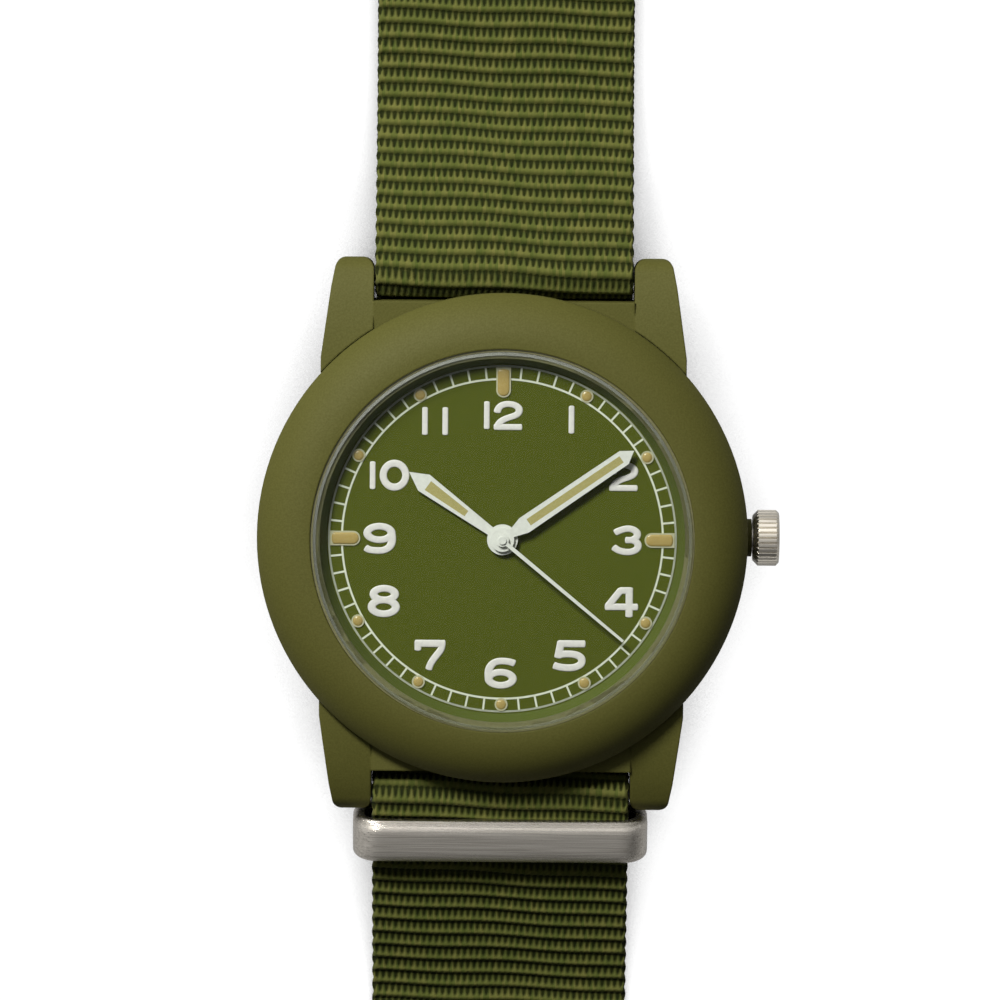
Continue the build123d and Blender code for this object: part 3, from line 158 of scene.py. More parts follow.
# Materials
def material(name, colour, roughness, metallic=0.0):
    made = bpy.data.materials.new(name)
    made.use_nodes = True
    shader = made.node_tree.nodes["Principled BSDF"]
    shader.inputs["Base Color"].default_value = linear(*colour)
    shader.inputs["Roughness"].default_value = roughness
    shader.inputs["Metallic"].default_value = metallic
    return made


def node(made, kind, inputs=None, **settings):
    """Adds a shader node; an input is a number, a colour or another node's output."""
    new = made.node_tree.nodes.new("ShaderNode" + kind)
    for name, value in settings.items():
        setattr(new, name, value)
    for socket, value in (inputs or {}).items():
        feed(made, new, socket, value)
    return new


def feed(made, new, socket, value):
    if isinstance(value, bpy.types.NodeSocket):
        made.node_tree.links.new(value, new.inputs[socket])
    else:
        new.inputs[socket].default_value = value


def shader_of(made):
    return made.node_tree.nodes["Principled BSDF"]


def speckle(made, scale, detail=3.0, stretch=(1.0, 1.0, 1.0)):
    """Noise fixed to the piece, with its scale in grains per millimetre."""
    place = node(made, "TexCoord").outputs["Object"]
    sizes = [value / mm for value in stretch]
    spread = node(made, "Mapping", {"Vector": place, "Scale": sizes})
    grain = {"Vector": spread.outputs["Vector"], "Scale": scale, "Detail": detail}
    return node(made, "TexNoise", grain).outputs["Fac"]


def tint(made, amount, colour_a, colour_b, low=0.35, high=0.65):
    """Colours the piece from a to b as amount goes from low to high."""
    ramp = node(made, "ValToRGB", {"Fac": amount})
    ramp.color_ramp.elements[0].position = low
    ramp.color_ramp.elements[0].color = linear(*colour_a)
    ramp.color_ramp.elements[1].position = high
    ramp.color_ramp.elements[1].color = linear(*colour_b)
    feed(made, shader_of(made), "Base Color", ramp.outputs["Color"])


def roughen(made, amount, low, high):
    spread = node(made, "MapRange", {"Value": amount, "To Min": low, "To Max": high})
    feed(made, shader_of(made), "Roughness", spread.outputs["Result"])


def bump(made, height, distance, under=None):
    """Adds relief; distance is in millimetres."""
    inputs = {"Height": height, "Distance": distance * mm, "Strength": 1.0}
    if under is not None:
        inputs["Normal"] = under
    relief = node(made, "Bump", inputs)
    feed(made, shader_of(made), "Normal", relief.outputs["Normal"])


def dull(made, level):
    """Lowers a finish's mirror-like share; 0.5 is plain plastic or paint."""
    shader_of(made).inputs["Specular IOR Level"].default_value = level
    return made


def soft_edge(made, radius):
    """Rounds the edges' shading over a radius in millimetres."""
    return node(made, "Bevel", {"Radius": radius * mm}, samples=4).outputs["Normal"]


def moulded(name, colour_a, colour_b, roughness=0.5, grain=6.0, depth=0.012, edge=None):
    made = material(name, colour_a, roughness)
    fine = speckle(made, grain, detail=2.0)
    tint(made, fine, colour_a, colour_b)
    roughen(made, fine, roughness - 0.06, roughness + 0.1)
    bump(made, fine, depth, under=soft_edge(made, edge) if edge else None)
    return made


def brushed(name, colour_a, colour_b, stretch=(0.15, 8.0, 8.0), roughness=0.3, depth=0.004,
            edge=None):
    """Steel with fine lines along the axis whose stretch is small."""
    made = material(name, colour_a, roughness, metallic=1.0)
    lines = speckle(made, 1.0, detail=4.0, stretch=stretch)
    tint(made, lines, colour_a, colour_b)
    roughen(made, lines, roughness - 0.08, roughness + 0.12)
    bump(made, lines, depth, under=soft_edge(made, edge) if edge else None)
    return made


def painted(name, colour_a, colour_b, roughness=0.45, grain=3.0, depth=0.004):
    made = material(name, colour_a, roughness)
    tint(made, speckle(made, grain), colour_a, colour_b)
    fine = speckle(made, 4 * grain)
    roughen(made, fine, roughness - 0.05, roughness + 0.08)
    bump(made, fine, depth)
    return made


def glass(name, colour=(255, 255, 255), roughness=0.04, least=0.005):
    """Clear crystal: what is below shows through, and the face still shines."""
    made = material(name, (245, 250, 248), roughness)
    tree = made.node_tree
    clear = node(made, "BsdfTransparent", {"Color": (0.97, 0.985, 0.975, 1.0)})
    shine = node(made, "BsdfGlossy", {"Color": linear(*colour), "Roughness": roughness})
    smudge = speckle(made, 0.15)
    spread = node(made, "MapRange", {"Value": smudge, "To Min": roughness - 0.01,
                                     "To Max": roughness + 0.02})
    feed(made, shine, "Roughness", spread.outputs["Result"])
    facing = node(made, "LayerWeight", {"Blend": 0.5}).outputs["Facing"]
    grazing = node(made, "Math", {0: facing, 1: 5.0}, operation="POWER")
    share = node(made, "MapRange", {"Value": grazing.outputs["Value"], "To Min": least})
    mixed = node(made, "MixShader", {"Fac": share.outputs["Result"]})
    tree.links.new(clear.outputs["BSDF"], mixed.inputs[1])
    tree.links.new(shine.outputs["BSDF"], mixed.inputs[2])
    output = next(n for n in tree.nodes if n.type == "OUTPUT_MATERIAL")
    tree.links.new(mixed.outputs["Shader"], output.inputs["Surface"])
    tree.nodes.remove(shader_of(made))
    return made


# Nylon: its yarns' colours, the shade in the pits, the melted edges and the filaments
yarn_dark = linear(72, 84, 32)
yarn_light = linear(118, 115, 60)
yarn_drift = linear(86, 93, 42)
drift_scale = 0.35
pit_shade = (0.12, 0.14, 0.05, 1.0)
shade_start = 0.15
shade_end = 0.75
melted_colour = linear(38, 42, 18)
yarn_roughness = 0.78
melted_roughness = 0.35
nylon_shine = 0.1
nylon_sheen = 0.03
filament_scale = (22.0, 2.5, 1.0)
filament_depth = 0.05


def woven(name):
    """Nylon webbing: yarn by yarn colour, painted shade in the pits and fine filaments along each yarn."""
    made = material(name, (98, 104, 52), 0.75)
    place = node(made, "UVMap", uv_map="weave_place").outputs["UV"]
    depth = node(made, "Attribute", attribute_name="weave_depth").outputs["Fac"]
    melt = node(made, "Attribute", attribute_name="weave_melt").outputs["Fac"]
    cells = node(made, "Mapping", {"Vector": place, "Scale": (2 / yarn_pitch, 1 / rib_pitch, 1.0)})
    whole = node(made, "VectorMath", {0: cells.outputs["Vector"]}, operation="FLOOR")
    random = node(made, "TexWhiteNoise", {"Vector": whole.outputs["Vector"]}, noise_dimensions="2D")
    drift = node(made, "TexNoise", {"Vector": place, "Scale": drift_scale, "Detail": 2.0})
    warm = node(made, "MixRGB", {"Fac": random.outputs["Value"], "Color1": yarn_dark,
                                 "Color2": yarn_light})
    cool = node(made, "MixRGB", {"Fac": drift.outputs["Fac"], "Color1": warm.outputs["Color"],
                                 "Color2": yarn_drift})
    # Painted shade: this ramp darkens the yarn colour as the weave lies deeper, to near black in the pits.
    ramp = node(made, "ValToRGB", {"Fac": depth})
    ramp.color_ramp.elements[0].position = shade_start
    ramp.color_ramp.elements[0].color = (1.0, 1.0, 1.0, 1.0)
    ramp.color_ramp.elements[1].position = shade_end
    ramp.color_ramp.elements[1].color = pit_shade
    shaded = node(made, "MixRGB", {"Fac": 1.0, "Color1": cool.outputs["Color"],
                                   "Color2": ramp.outputs["Color"]}, blend_type="MULTIPLY")
    sealed = node(made, "MixRGB", {"Fac": melt, "Color1": shaded.outputs["Color"],
                                   "Color2": melted_colour})
    feed(made, shader_of(made), "Base Color", sealed.outputs["Color"])
    rough = node(made, "MapRange", {"Value": melt, "To Min": yarn_roughness,
                                    "To Max": melted_roughness})
    feed(made, shader_of(made), "Roughness", rough.outputs["Result"])
    dull(made, nylon_shine)
    shader_of(made).inputs["Sheen Weight"].default_value = nylon_sheen
    shader_of(made).inputs["Sheen Roughness"].default_value = 0.5
    threads = node(made, "Mapping", {"Vector": place, "Scale": filament_scale})
    filaments = node(made, "TexNoise", {"Vector": threads.outputs["Vector"], "Scale": 1.0,
                                        "Detail": 3.0})
    bump(made, filaments.outputs["Fac"], filament_depth)
    return made


# Meshes
def new_piece(name, vertices, faces, made, body=None, slot=None, smooth=True):
    mesh = bpy.data.meshes.new(name)
    mesh.from_pydata((np.asarray(vertices, float) * mm).tolist(), [], faces)
    mesh.validate()
    mesh.polygons.foreach_set("use_smooth", [smooth] * len(mesh.polygons))
    mesh.materials.append(made)
    piece = bpy.data.objects.new(name, mesh)
    bpy.context.scene.collection.objects.link(piece)
    if body:
        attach(piece, body)
    return piece


def arc(centre, radius, start, end, steps=24):
    """Points of an arc in the YZ plane, its angles in degrees from +Y."""
    turns = np.radians(np.linspace(start, end, steps + 1))
    return [(centre[0] + radius * cos(t), centre[1] + radius * sin(t)) for t in turns]


def rounded(points, radii, steps=16):
    """A line through points whose inner corners are rounded."""
    line = [points[0]]
    for before, corner, after, radius in zip(points, points[1:], points[2:], radii):
        corner = Vector(corner)
        back = (Vector(before) - corner).normalized()
        ahead = (Vector(after) - corner).normalized()
        half = back.angle(ahead) / 2
        reach = radius / tan(half)
        start, end = corner + back * reach, corner + ahead * reach
        centre = corner + (back + ahead).normalized() * (radius / sin(half))
        first, last = (start - centre).normalized(), (end - centre).normalized()
        for step in range(steps + 1):
            line.append(tuple(centre + radius * first.slerp(last, step / steps)))
    line.append(points[-1])
    return line


def weave_depth(x, along, towards):
    """How deep the weave lies below the face: 0 on a rib's crest and 1 in a pit.

    Each rib reaches furthest at its yarns on the side that towards names, and between them on
    the other side.
    """
    depth = np.ones_like(along)
    row = np.floor(along / rib_pitch)
    for step in (-1, 0, 1):
        near = row + step
        middle = (near + 0.5) * rib_pitch
        yarn_share = np.abs((x / yarn_pitch + 0.5 * near) % 1 - 0.5) * 2
        upper = upper_reach[0] + (upper_reach[1] - upper_reach[0]) * yarn_share
        lower = lower_reach[0] + (lower_reach[1] - lower_reach[0]) * (1 - yarn_share)
        off = (along - middle) * towards / rib_pitch
        off = np.where(off > 0, off / upper, off / lower)
        bulge = np.sqrt(np.clip(1 - off**2, 0, 1)) - crest_share * (1 - yarn_share)
        depth = np.minimum(depth, 1 - bulge)
    return depth


def touching(cells):
    """The grid's points that touch any of the marked cells between them."""
    points = np.zeros((cells.shape[0] + 1, cells.shape[1] + 1), bool)
    for rows in (slice(1, None), slice(None, -1)):
        for cols in (slice(1, None), slice(None, -1)):
            points[rows, cols] |= cells
    return points


def webbing(name, path, made, holes=(), slot_span=None, round_tip=False):
    """A closed strip of webbing along a path in the YZ plane.

    Its holes, and the slot's first and last place, are measured along it from its start.
    """
    path = np.array(path, float)
    heading_sign = np.sign(path[1, 0] - path[0, 0])
    runs = np.concatenate([[0], np.cumsum(np.hypot(*np.diff(path, axis=0).T))])
    length = runs[-1]
    ribs = int(length / rib_pitch) + 1
    along = np.array([(rib + share) * rib_pitch for rib in range(ribs) for share in rib_samples])
    ends = np.array(end_steps)
    inner = along[(along > end_round) & (along < length - end_round)]
    along = np.concatenate([ends, inner, length - ends[::-1]])
    y, z = np.interp(along, runs, path[:, 0]), np.interp(along, runs, path[:, 1])
    ahead = np.clip(along + heading_reach, 0, length)
    behind = np.clip(along - heading_reach, 0, length)
    heading_y = np.interp(ahead, runs, path[:, 0]) - np.interp(behind, runs, path[:, 0])
    heading_z = np.interp(ahead, runs, path[:, 1]) - np.interp(behind, runs, path[:, 1])
    size = np.hypot(heading_y, heading_z)
    normal_y, normal_z = -heading_z / size, heading_y / size

    middle = half_width - edge_steps[-1]
    count = int(middle / column_step)
    plain = np.arange(-count, count + 1) * column_step
    sides = half_width - np.array(edge_steps)
    columns = np.concatenate([-sides, plain[np.abs(plain) < sides[-1] - column_room], sides[::-1]])
    x, s = np.meshgrid(columns, along)
    depth = weave_depth(x, s, heading_sign)
    inset = np.clip((half_width - np.abs(x)) / edge_steps[-1], 0, 1)
    from_end = np.clip(np.minimum(s, length - s) / end_round, 0, 1)
    thick_share = np.minimum(np.sqrt(1 - edge_thinning * (1 - inset) ** 2),
                             np.sqrt(1 - edge_thinning * (1 - from_end) ** 2))
    outward = webbing_thick / 2 * thick_share - pit_depth * depth * thick_share
    bead = edge_bead * np.cos(2 * pi * s / rib_pitch) * (1 - inset)
    x_placed = x - np.sign(x) * (edge_bead - bead) * (1 - inset)
    drawn = np.clip((np.minimum(s, length - s) - skew_start) / skew_fade, 0, 1)
    for place in [*holes, *(slot_span or ())]:
        drawn = np.minimum(drawn, np.clip((np.hypot(x, s - place) - hole_reach) / hole_calm, 0, 1))
    wander = rib_wander * np.sin(wander_across * x + wander_along * s) * np.cos(wander_along * x)
    s_placed = s - drawn * (rib_skew * x + wander)
    if round_tip:
        over = np.clip(s - (length - tip_corner), 0, tip_corner)
        share = (half_width - tip_corner + np.sqrt(tip_corner**2 - over**2)) / half_width
        x_placed = x_placed * share
    melt = (from_end < 1) * (1 - from_end)

    gone = np.zeros((len(along) - 1, len(columns) - 1), bool)
    column_middle = (columns[1:] + columns[:-1]) / 2
    row_middle = (along[1:] + along[:-1]) / 2
    for hole in holes:
        away = np.hypot(x, s - hole)
        near = away < hole_reach
        turn = np.arctan2(s - hole, x)
        touched = away < hole_cut
        gone |= touched[1:, 1:] | touched[:-1, 1:] | touched[1:, :-1] | touched[:-1, :-1]
        opened = hole_radius + (hole_reach - hole_radius) * (away / hole_reach) ** hole_pull
        x_placed = np.where(near, opened * np.cos(turn), x_placed)
        s_placed = np.where(near, hole + opened * np.sin(turn), s_placed)
        sealed = (hole_radius + hole_seal_width - opened) / hole_seal_fade
        melt = np.maximum(melt, np.clip(sealed, 0, 1) * near)
    if slot_span:
        in_rows = (row_middle > slot_span[0]) & (row_middle < slot_span[1])
        gone |= in_rows[:, None] & (np.abs(column_middle) < slot_half)[None, :]

    kept = ~gone
    rim = touching(gone)
    used = touching(kept)
    for hole in holes:
        edge = rim & used & (np.hypot(x, s - hole) < hole_reach)
        turn = np.arctan2(s - hole, x)
        x_placed = np.where(edge, hole_radius * np.cos(turn), x_placed)
        s_placed = np.where(edge, hole + hole_radius * np.sin(turn), s_placed)
    outward = np.where(rim, np.minimum(outward, webbing_thick / 2 - pit_depth / 2), outward)

    centre_y = np.interp(s_placed, along, y)
    centre_z = np.interp(s_placed, along, z)
    up_y = np.interp(s_placed, along, normal_y)
    up_z = np.interp(s_placed, along, normal_z)
    outward *= heading_sign
    x_placed *= heading_sign
    top = np.stack([x_placed, centre_y + up_y * outward, centre_z + up_z * outward], -1)
    bottom = np.stack([x_placed, centre_y - up_y * outward, centre_z - up_z * outward], -1)

    number = np.full(x.shape, -1)
    number[used] = np.arange(used.sum())
    total = int(used.sum())
    a, b, c, d = number[:-1, :-1], number[:-1, 1:], number[1:, 1:], number[1:, :-1]
    upper = np.stack([a, b, c, d], -1)[kept]
    lower = np.stack([d, c, b, a], -1)[kept] + total
    padded = np.pad(kept, 1)
    walls = []
    for rows, cols, first, second in (
        (slice(None, -2), slice(1, -1), a, b),
        (slice(1, -1), slice(2, None), b, c),
        (slice(2, None), slice(1, -1), c, d),
        (slice(1, -1), slice(None, -2), d, a),
    ):
        open_side = kept & ~padded[rows, cols]
        start, end = first[open_side], second[open_side]
        walls.append(np.stack([end, start, start + total, end + total], -1))
    faces = np.concatenate([upper, lower, *walls]).tolist()
    vertices = np.concatenate([top[used], bottom[used]])
    piece = new_piece(name, vertices, faces, made, slot="webbing")

    mesh = piece.data
    for attribute, values in (("weave_depth", depth), ("weave_melt", melt)):
        layer = mesh.attributes.new(attribute, "FLOAT", "POINT")
        layer.data.foreach_set("value", np.tile(values[used], 2).astype(np.float32))
    places = np.tile(np.stack([x[used], s[used]], -1), (2, 1))
    corner_vertices = np.zeros(len(mesh.loops), int)
    mesh.loops.foreach_get("vertex_index", corner_vertices)
    uv = mesh.uv_layers.new(name="weave_place")
    uv.data.foreach_set("uv", places[corner_vertices].astype(np.float32).ravel())
    piece["length"] = length
    return piece


# The straps' routes in the YZ plane, as the frame's solids run
wrap_radius = bar_radius + wrap_gap + webbing_thick / 2
centre_level = back_z - webbing_thick / 2
slot_y = bar_y - wrap_radius
floor_level = webbing_thick / 2
upper_level = webbing_thick * 3 / 2 + layer_gap
fold_radius = buckle_bar_radius + wrap_gap + webbing_thick / 2
buckle_y, buckle_z = buckle_place.y, floor_level + fold_radius
pocket_level = webbing_thick + keeper_thick + 2 * keeper_gap + webbing_thick / 2
leave = (bar_y + wrap_radius * sin(strap_slope), bar_z + wrap_radius * cos(strap_slope))


def landing_y(lowest):
    return leave[0] + (leave[1] - lowest) / tan(strap_slope)


def head_route():
    """From under the middle of the head, up the slot and over the spring bar."""
    under = rounded([(0, centre_level), (slot_y, centre_level), (slot_y, bar_z)], [turn_radius])
    return under + arc((bar_y, bar_z), wrap_radius, 180, 90 - degrees(strap_slope))[1:]


middle_y, near_y = keeper_places[0].y, keeper_places[1].y - pocket_run
upper_run = rounded(
    [
        leave,
        (landing_y(upper_level), upper_level),
        (middle_y - pocket_run - pocket_ramp, upper_level),
        (middle_y - pocket_run, pocket_level),
        (middle_y + pocket_run, pocket_level),
        (middle_y + pocket_run + pocket_ramp, upper_level),
        (near_y - pocket_ramp, upper_level),
        (near_y, buckle_z + fold_radius),
        (buckle_y, buckle_z + fold_radius),
    ],
    [landing_radius, *[step_radius] * 6],
)
upper_route = head_route() + upper_run[1:] + arc((buckle_y, buckle_z), fold_radius, 90, -90)[1:]
upper_route.append((fold_end_y, floor_level))
lower_run = rounded([leave, (landing_y(floor_level), floor_level), (-tail_tip_y, floor_level)],
                    [landing_radius])
lower_route = [(-y, z) for y, z in head_route() + lower_run[1:]]


def route_length(route, reach=None):
    """The length of a route, or of its part up to the first point beyond reach."""
    total = 0
    for (y, z), (next_y, next_z) in zip(route, route[1:]):
        if reach is not None and abs(next_y) > reach and total > 2 * bar_y:
            share = (reach - abs(y)) / (abs(next_y) - abs(y))
            return total + share * hypot(next_y - y, next_z - z)
        total += hypot(next_y - y, next_z - z)
    return total


web = woven("olive_webbing")
slot_first = route_length(upper_route, slot_start_y)
slot_last = slot_first + 2 * (buckle_y - slot_start_y) + pi * fold_radius
strap_upper = webbing("strap_upper", upper_route, web, slot_span=(slot_first, slot_last))
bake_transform(strap_upper)
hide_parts("main_strap_upper", "main_strap_centre")

holes = [route_length(lower_route, -hole_first_y + hole * hole_pitch) for hole in range(hole_count)]
strap_lower = webbing("strap_lower", lower_route, web, holes=holes, round_tip=True)
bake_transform(strap_lower)
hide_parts("main_strap_tail")

# The under-strap: a shorter length under the head, whose lower end loops round the lower keeper
weld_start_y = -9.3
soft_gap = 0.05
swing_room = 0.2
lower_keeper_reach = 3.496
lower_keeper_gap = 0.347
lower_keeper_tilt = radians(14.0)
keeper_spare_height = 1.3
strip_reach = 1.25
loop_radius = keeper_thick / 2 + keeper_gap + webbing_thick / 2
loop_corner = 0.5
stitch_rows = (58.8, 62.2, 73.8, 80.6)
weld_rows = (-12.2, -15.2)
stitch_count = 3
stitch_pitch = 2.6
stitch_length = 2.0
stitch_half = 0.16
stitch_sink = 0.1
under_low_y = corners("under_strap_lower_bend")[0].y
under_stop_y = under_low_y + swing_room
under_upper = webbing("under_strap_long", [(0, floor_level), (under_end_y, floor_level)], web)
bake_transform(under_upper)
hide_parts("under_strap_upper", "under_strap_upper_bend", "under_strap_centre")

under_lower = webbing("under_strap_short", [(0, floor_level), (under_stop_y, floor_level)], web)
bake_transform(under_lower)
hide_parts("under_strap_lower_bend")

# Its free end lies on top, goes up the wall and over the lower keeper's back strip, and comes back below
top_layer = webbing_thick * 3 / 2
under_end = webbing("under_strap_end", [(weld_start_y, top_layer), (under_stop_y, top_layer)], web)
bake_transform(under_end)

front_plate_y = bar_y + lower_keeper_reach
strap_top_z = (leave[1] - (front_plate_y - leave[0]) * tan(strap_slope)
               + webbing_thick / 2 / cos(strap_slope))
keeper_rise = keeper_thick / 2 + 2 * webbing_thick + keeper_spare_height
keeper_y = keeper_rise * sin(lower_keeper_tilt) - front_plate_y
keeper_z = strap_top_z + lower_keeper_gap - keeper_rise * cos(lower_keeper_tilt)
strip_y, strip_z = strip_reach * cos(lower_keeper_tilt), strip_reach * sin(lower_keeper_tilt)
loop_near, loop_far = (keeper_y + strip_y, keeper_z + strip_z), (keeper_y - strip_y, keeper_z - strip_z)
loop_wall_y = loop_near[0] + loop_radius
weld_away = (loop_wall_y - loop_far[0], floor_level - loop_far[1])
loop_last = degrees(atan2(weld_away[1], weld_away[0]) - acos(loop_radius / hypot(*weld_away)))
loop_top = 90 + degrees(lower_keeper_tilt)
loop_route = rounded(
    [(under_low_y - soft_gap, top_layer), (loop_wall_y, top_layer), (loop_wall_y, loop_near[1])],
    [loop_corner],
)
loop_route += arc(loop_near, loop_radius, 0, loop_top)[1:]
loop_route += arc(loop_far, loop_radius, loop_top, loop_last + 360)
loop_route += [(loop_wall_y, floor_level), (under_low_y - soft_gap, floor_level)]
strap_loop = webbing("keeper_loop_webbing", loop_route, web)
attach(strap_loop, "keeper_loop")
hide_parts("under_strap_loop")


# Dial print: the minute track, the numerals and the domes of luminous paint
def hoop(section, steps=180):
    """Four points of radius and height, turned about the watch's axis: vertices and faces."""
    vertices, faces = [], []
    for step in range(steps):
        turn = 2 * pi * step / steps
        vertices += [(radius * cos(turn), radius * sin(turn), z) for radius, z in section]
        base, after = 4 * step, 4 * ((step + 1) % steps)
        for side in range(4):
            beside = (side + 1) % 4
            faces.append((base + side, base + beside, after + beside, after + side))
    return vertices, faces


def ring(inner, outer, low, high):
    """A flat ring on the dial: its vertices and faces."""
    return hoop([(inner, low), (inner, high), (outer, high), (outer, low)])


def bar(start, end, half, low, high):
    """A flat bar from start to end: its vertices and faces."""
    start, end = Vector(start), Vector(end)
    aside = Vector((start.y - end.y, end.x - start.x)).normalized() * half
    outline = [start - aside, end - aside, end + aside, start + aside]
    vertices = [(p.x, p.y, z) for z in (low, high) for p in outline]
    faces = [(0, 3, 2, 1), (4, 5, 6, 7), (0, 1, 5, 4), (1, 2, 6, 5), (2, 3, 7, 6), (3, 0, 4, 7)]
    return vertices, faces


def join(shapes):
    """Several shapes as one list of vertices and one of faces."""
    vertices, faces = [], []
    for shape_vertices, shape_faces in shapes:
        base = len(vertices)
        vertices.extend(shape_vertices)
        faces.extend(tuple(base + index for index in face) for face in shape_faces)
    return vertices, faces


track_inner = 12.2
track_outer = 13.34
track_line = 0.15
print_thick = 0.03
print_sink = 0.01
print_low, print_high = dial_z - print_sink, dial_z + print_thick
outer_paint = painted("outer_paint", (150, 152, 138), (164, 166, 150), roughness=0.6)
outer_line = ring(track_outer - track_line, track_outer, print_low, print_high)
new_piece("outer_track", *outer_line, outer_paint, body="case", slot="hand_white", smooth=False)
shapes = [ring(track_inner, track_inner + track_line, print_low, print_high)]
for minute in range(60):
    turn = radians(6 * minute)
    spoke = Vector((cos(turn), sin(turn)))
    if minute % 5:
        shapes.append(bar(spoke * track_inner, spoke * (track_outer - track_line), track_line / 2,
                          print_low, print_high - print_sink / 2))
track_paint = painted("track_paint", (206, 208, 190), (216, 218, 202), roughness=0.6)
new_piece("minute_track", *join(shapes), track_paint, body="case", slot="hand_white", smooth=False)


def ellipse(centre_x, centre_y, radius_x, radius_y, steps=28):
    turns = np.radians(np.linspace(0, 360, steps + 1))
    return [(centre_x + radius_x * cos(t), centre_y + radius_y * sin(t)) for t in turns]


def smooth_line(points, rounds=3):
    """Cuts a line's corners until it is a curve that keeps its ends."""
    for _ in range(rounds):
        cut = [points[0]]
        for (ax, ay), (bx, by) in zip(points, points[1:]):
            cut.append((0.75 * ax + 0.25 * bx, 0.75 * ay + 0.25 * by))
            cut.append((0.25 * ax + 0.75 * bx, 0.25 * ay + 0.75 * by))
        cut.append(points[-1])
        points = cut
    return points


end_shares = np.array([0.04, 0.18, 0.4, 0.7, 1.0])
stroke_step = 0.07
closed_gap = 0.02
last_gap = 0.03


def stroke(points, half, low, high, flat=0.35, first_round=None, last_round=None, sides=8,
           broad=1.0):
    """A raised stroke along a line on the dial; a smaller flat makes its top flatter.

    Its half thickness across Y is half, and broad times that across X.
    """
    first_round, last_round = first_round or half, last_round or half
    line = np.array(points, float)
    closed = np.hypot(*(line[0] - line[-1])) < closed_gap
    runs = np.concatenate([[0], np.cumsum(np.hypot(*np.diff(line, axis=0).T))])
    length = runs[-1]
    steps = np.array([0.0]) if closed else end_shares
    inner = np.arange(steps[-1] * first_round + stroke_step,
                      length - steps[-1] * last_round - last_gap, stroke_step)
    along = np.concatenate([steps * first_round, inner, length - (steps * last_round)[::-1]])
    x, y = np.interp(along, runs, line[:, 0]), np.interp(along, runs, line[:, 1])
    heading = np.stack([np.gradient(x, along), np.gradient(y, along)], -1)
    if closed:
        heading[0] = heading[-1] = heading[1] + heading[-2]
    heading /= np.hypot(*heading.T)[:, None]
    if closed:
        width = np.full(len(along), half)
    else:
        near = np.clip(np.minimum(along / first_round, (length - along) / last_round), 0, 1)
        width = half * np.sqrt(1 - (1 - near) ** 2)
    vertices, faces = [], []
    for px, py, (dx, dy), reach in zip(x, y, heading, width):
        for side in range(sides + 1):
            turn = pi * side / sides
            across, up = reach * cos(turn), (high - low) * sin(turn) ** flat * (reach / half) ** flat
            vertices.append((px - dy * across * broad, py + dx * across, low + up))
    rows = len(along)
    for row in range(rows - 1):
        for side in range(sides):
            base = row * (sides + 1) + side
            faces.append((base, base + sides + 1, base + sides + 2, base + 1))
        base = row * (sides + 1)
        faces.append((base, base + sides, base + 2 * sides + 1, base + sides + 1))
    if not closed:
        faces.append(tuple(range(sides + 1)))
        faces.append(tuple(range((rows - 1) * (sides + 1), rows * (sides + 1)))[::-1])
    return vertices, faces


# Stitches that join the webbing's layers
def stitches(name, rows, level, body):
    """Rows of short raised threads across the strap, at places along Y."""
    shapes = []
    for row_y in rows:
        for place in range(-stitch_count, stitch_count + 1):
            x = place * stitch_pitch
            ends = [(x - stitch_length / 2, row_y), (x + stitch_length / 2, row_y)]
            shapes.append(stroke(ends, stitch_half, level - stitch_half, level + stitch_half, flat=0.9))
    new_piece(name, *join(shapes), thread, body=body, slot="webbing")


thread = moulded("olive_thread", (96, 100, 52), (84, 88, 42), roughness=0.6, grain=14.0, depth=0.03)
stitches("keeper_stitches", stitch_rows, upper_level + webbing_thick / 2 - stitch_sink, "upper_strap")
stitches("weld_stitches", weld_rows, top_layer + webbing_thick / 2 - stitch_sink, "case")

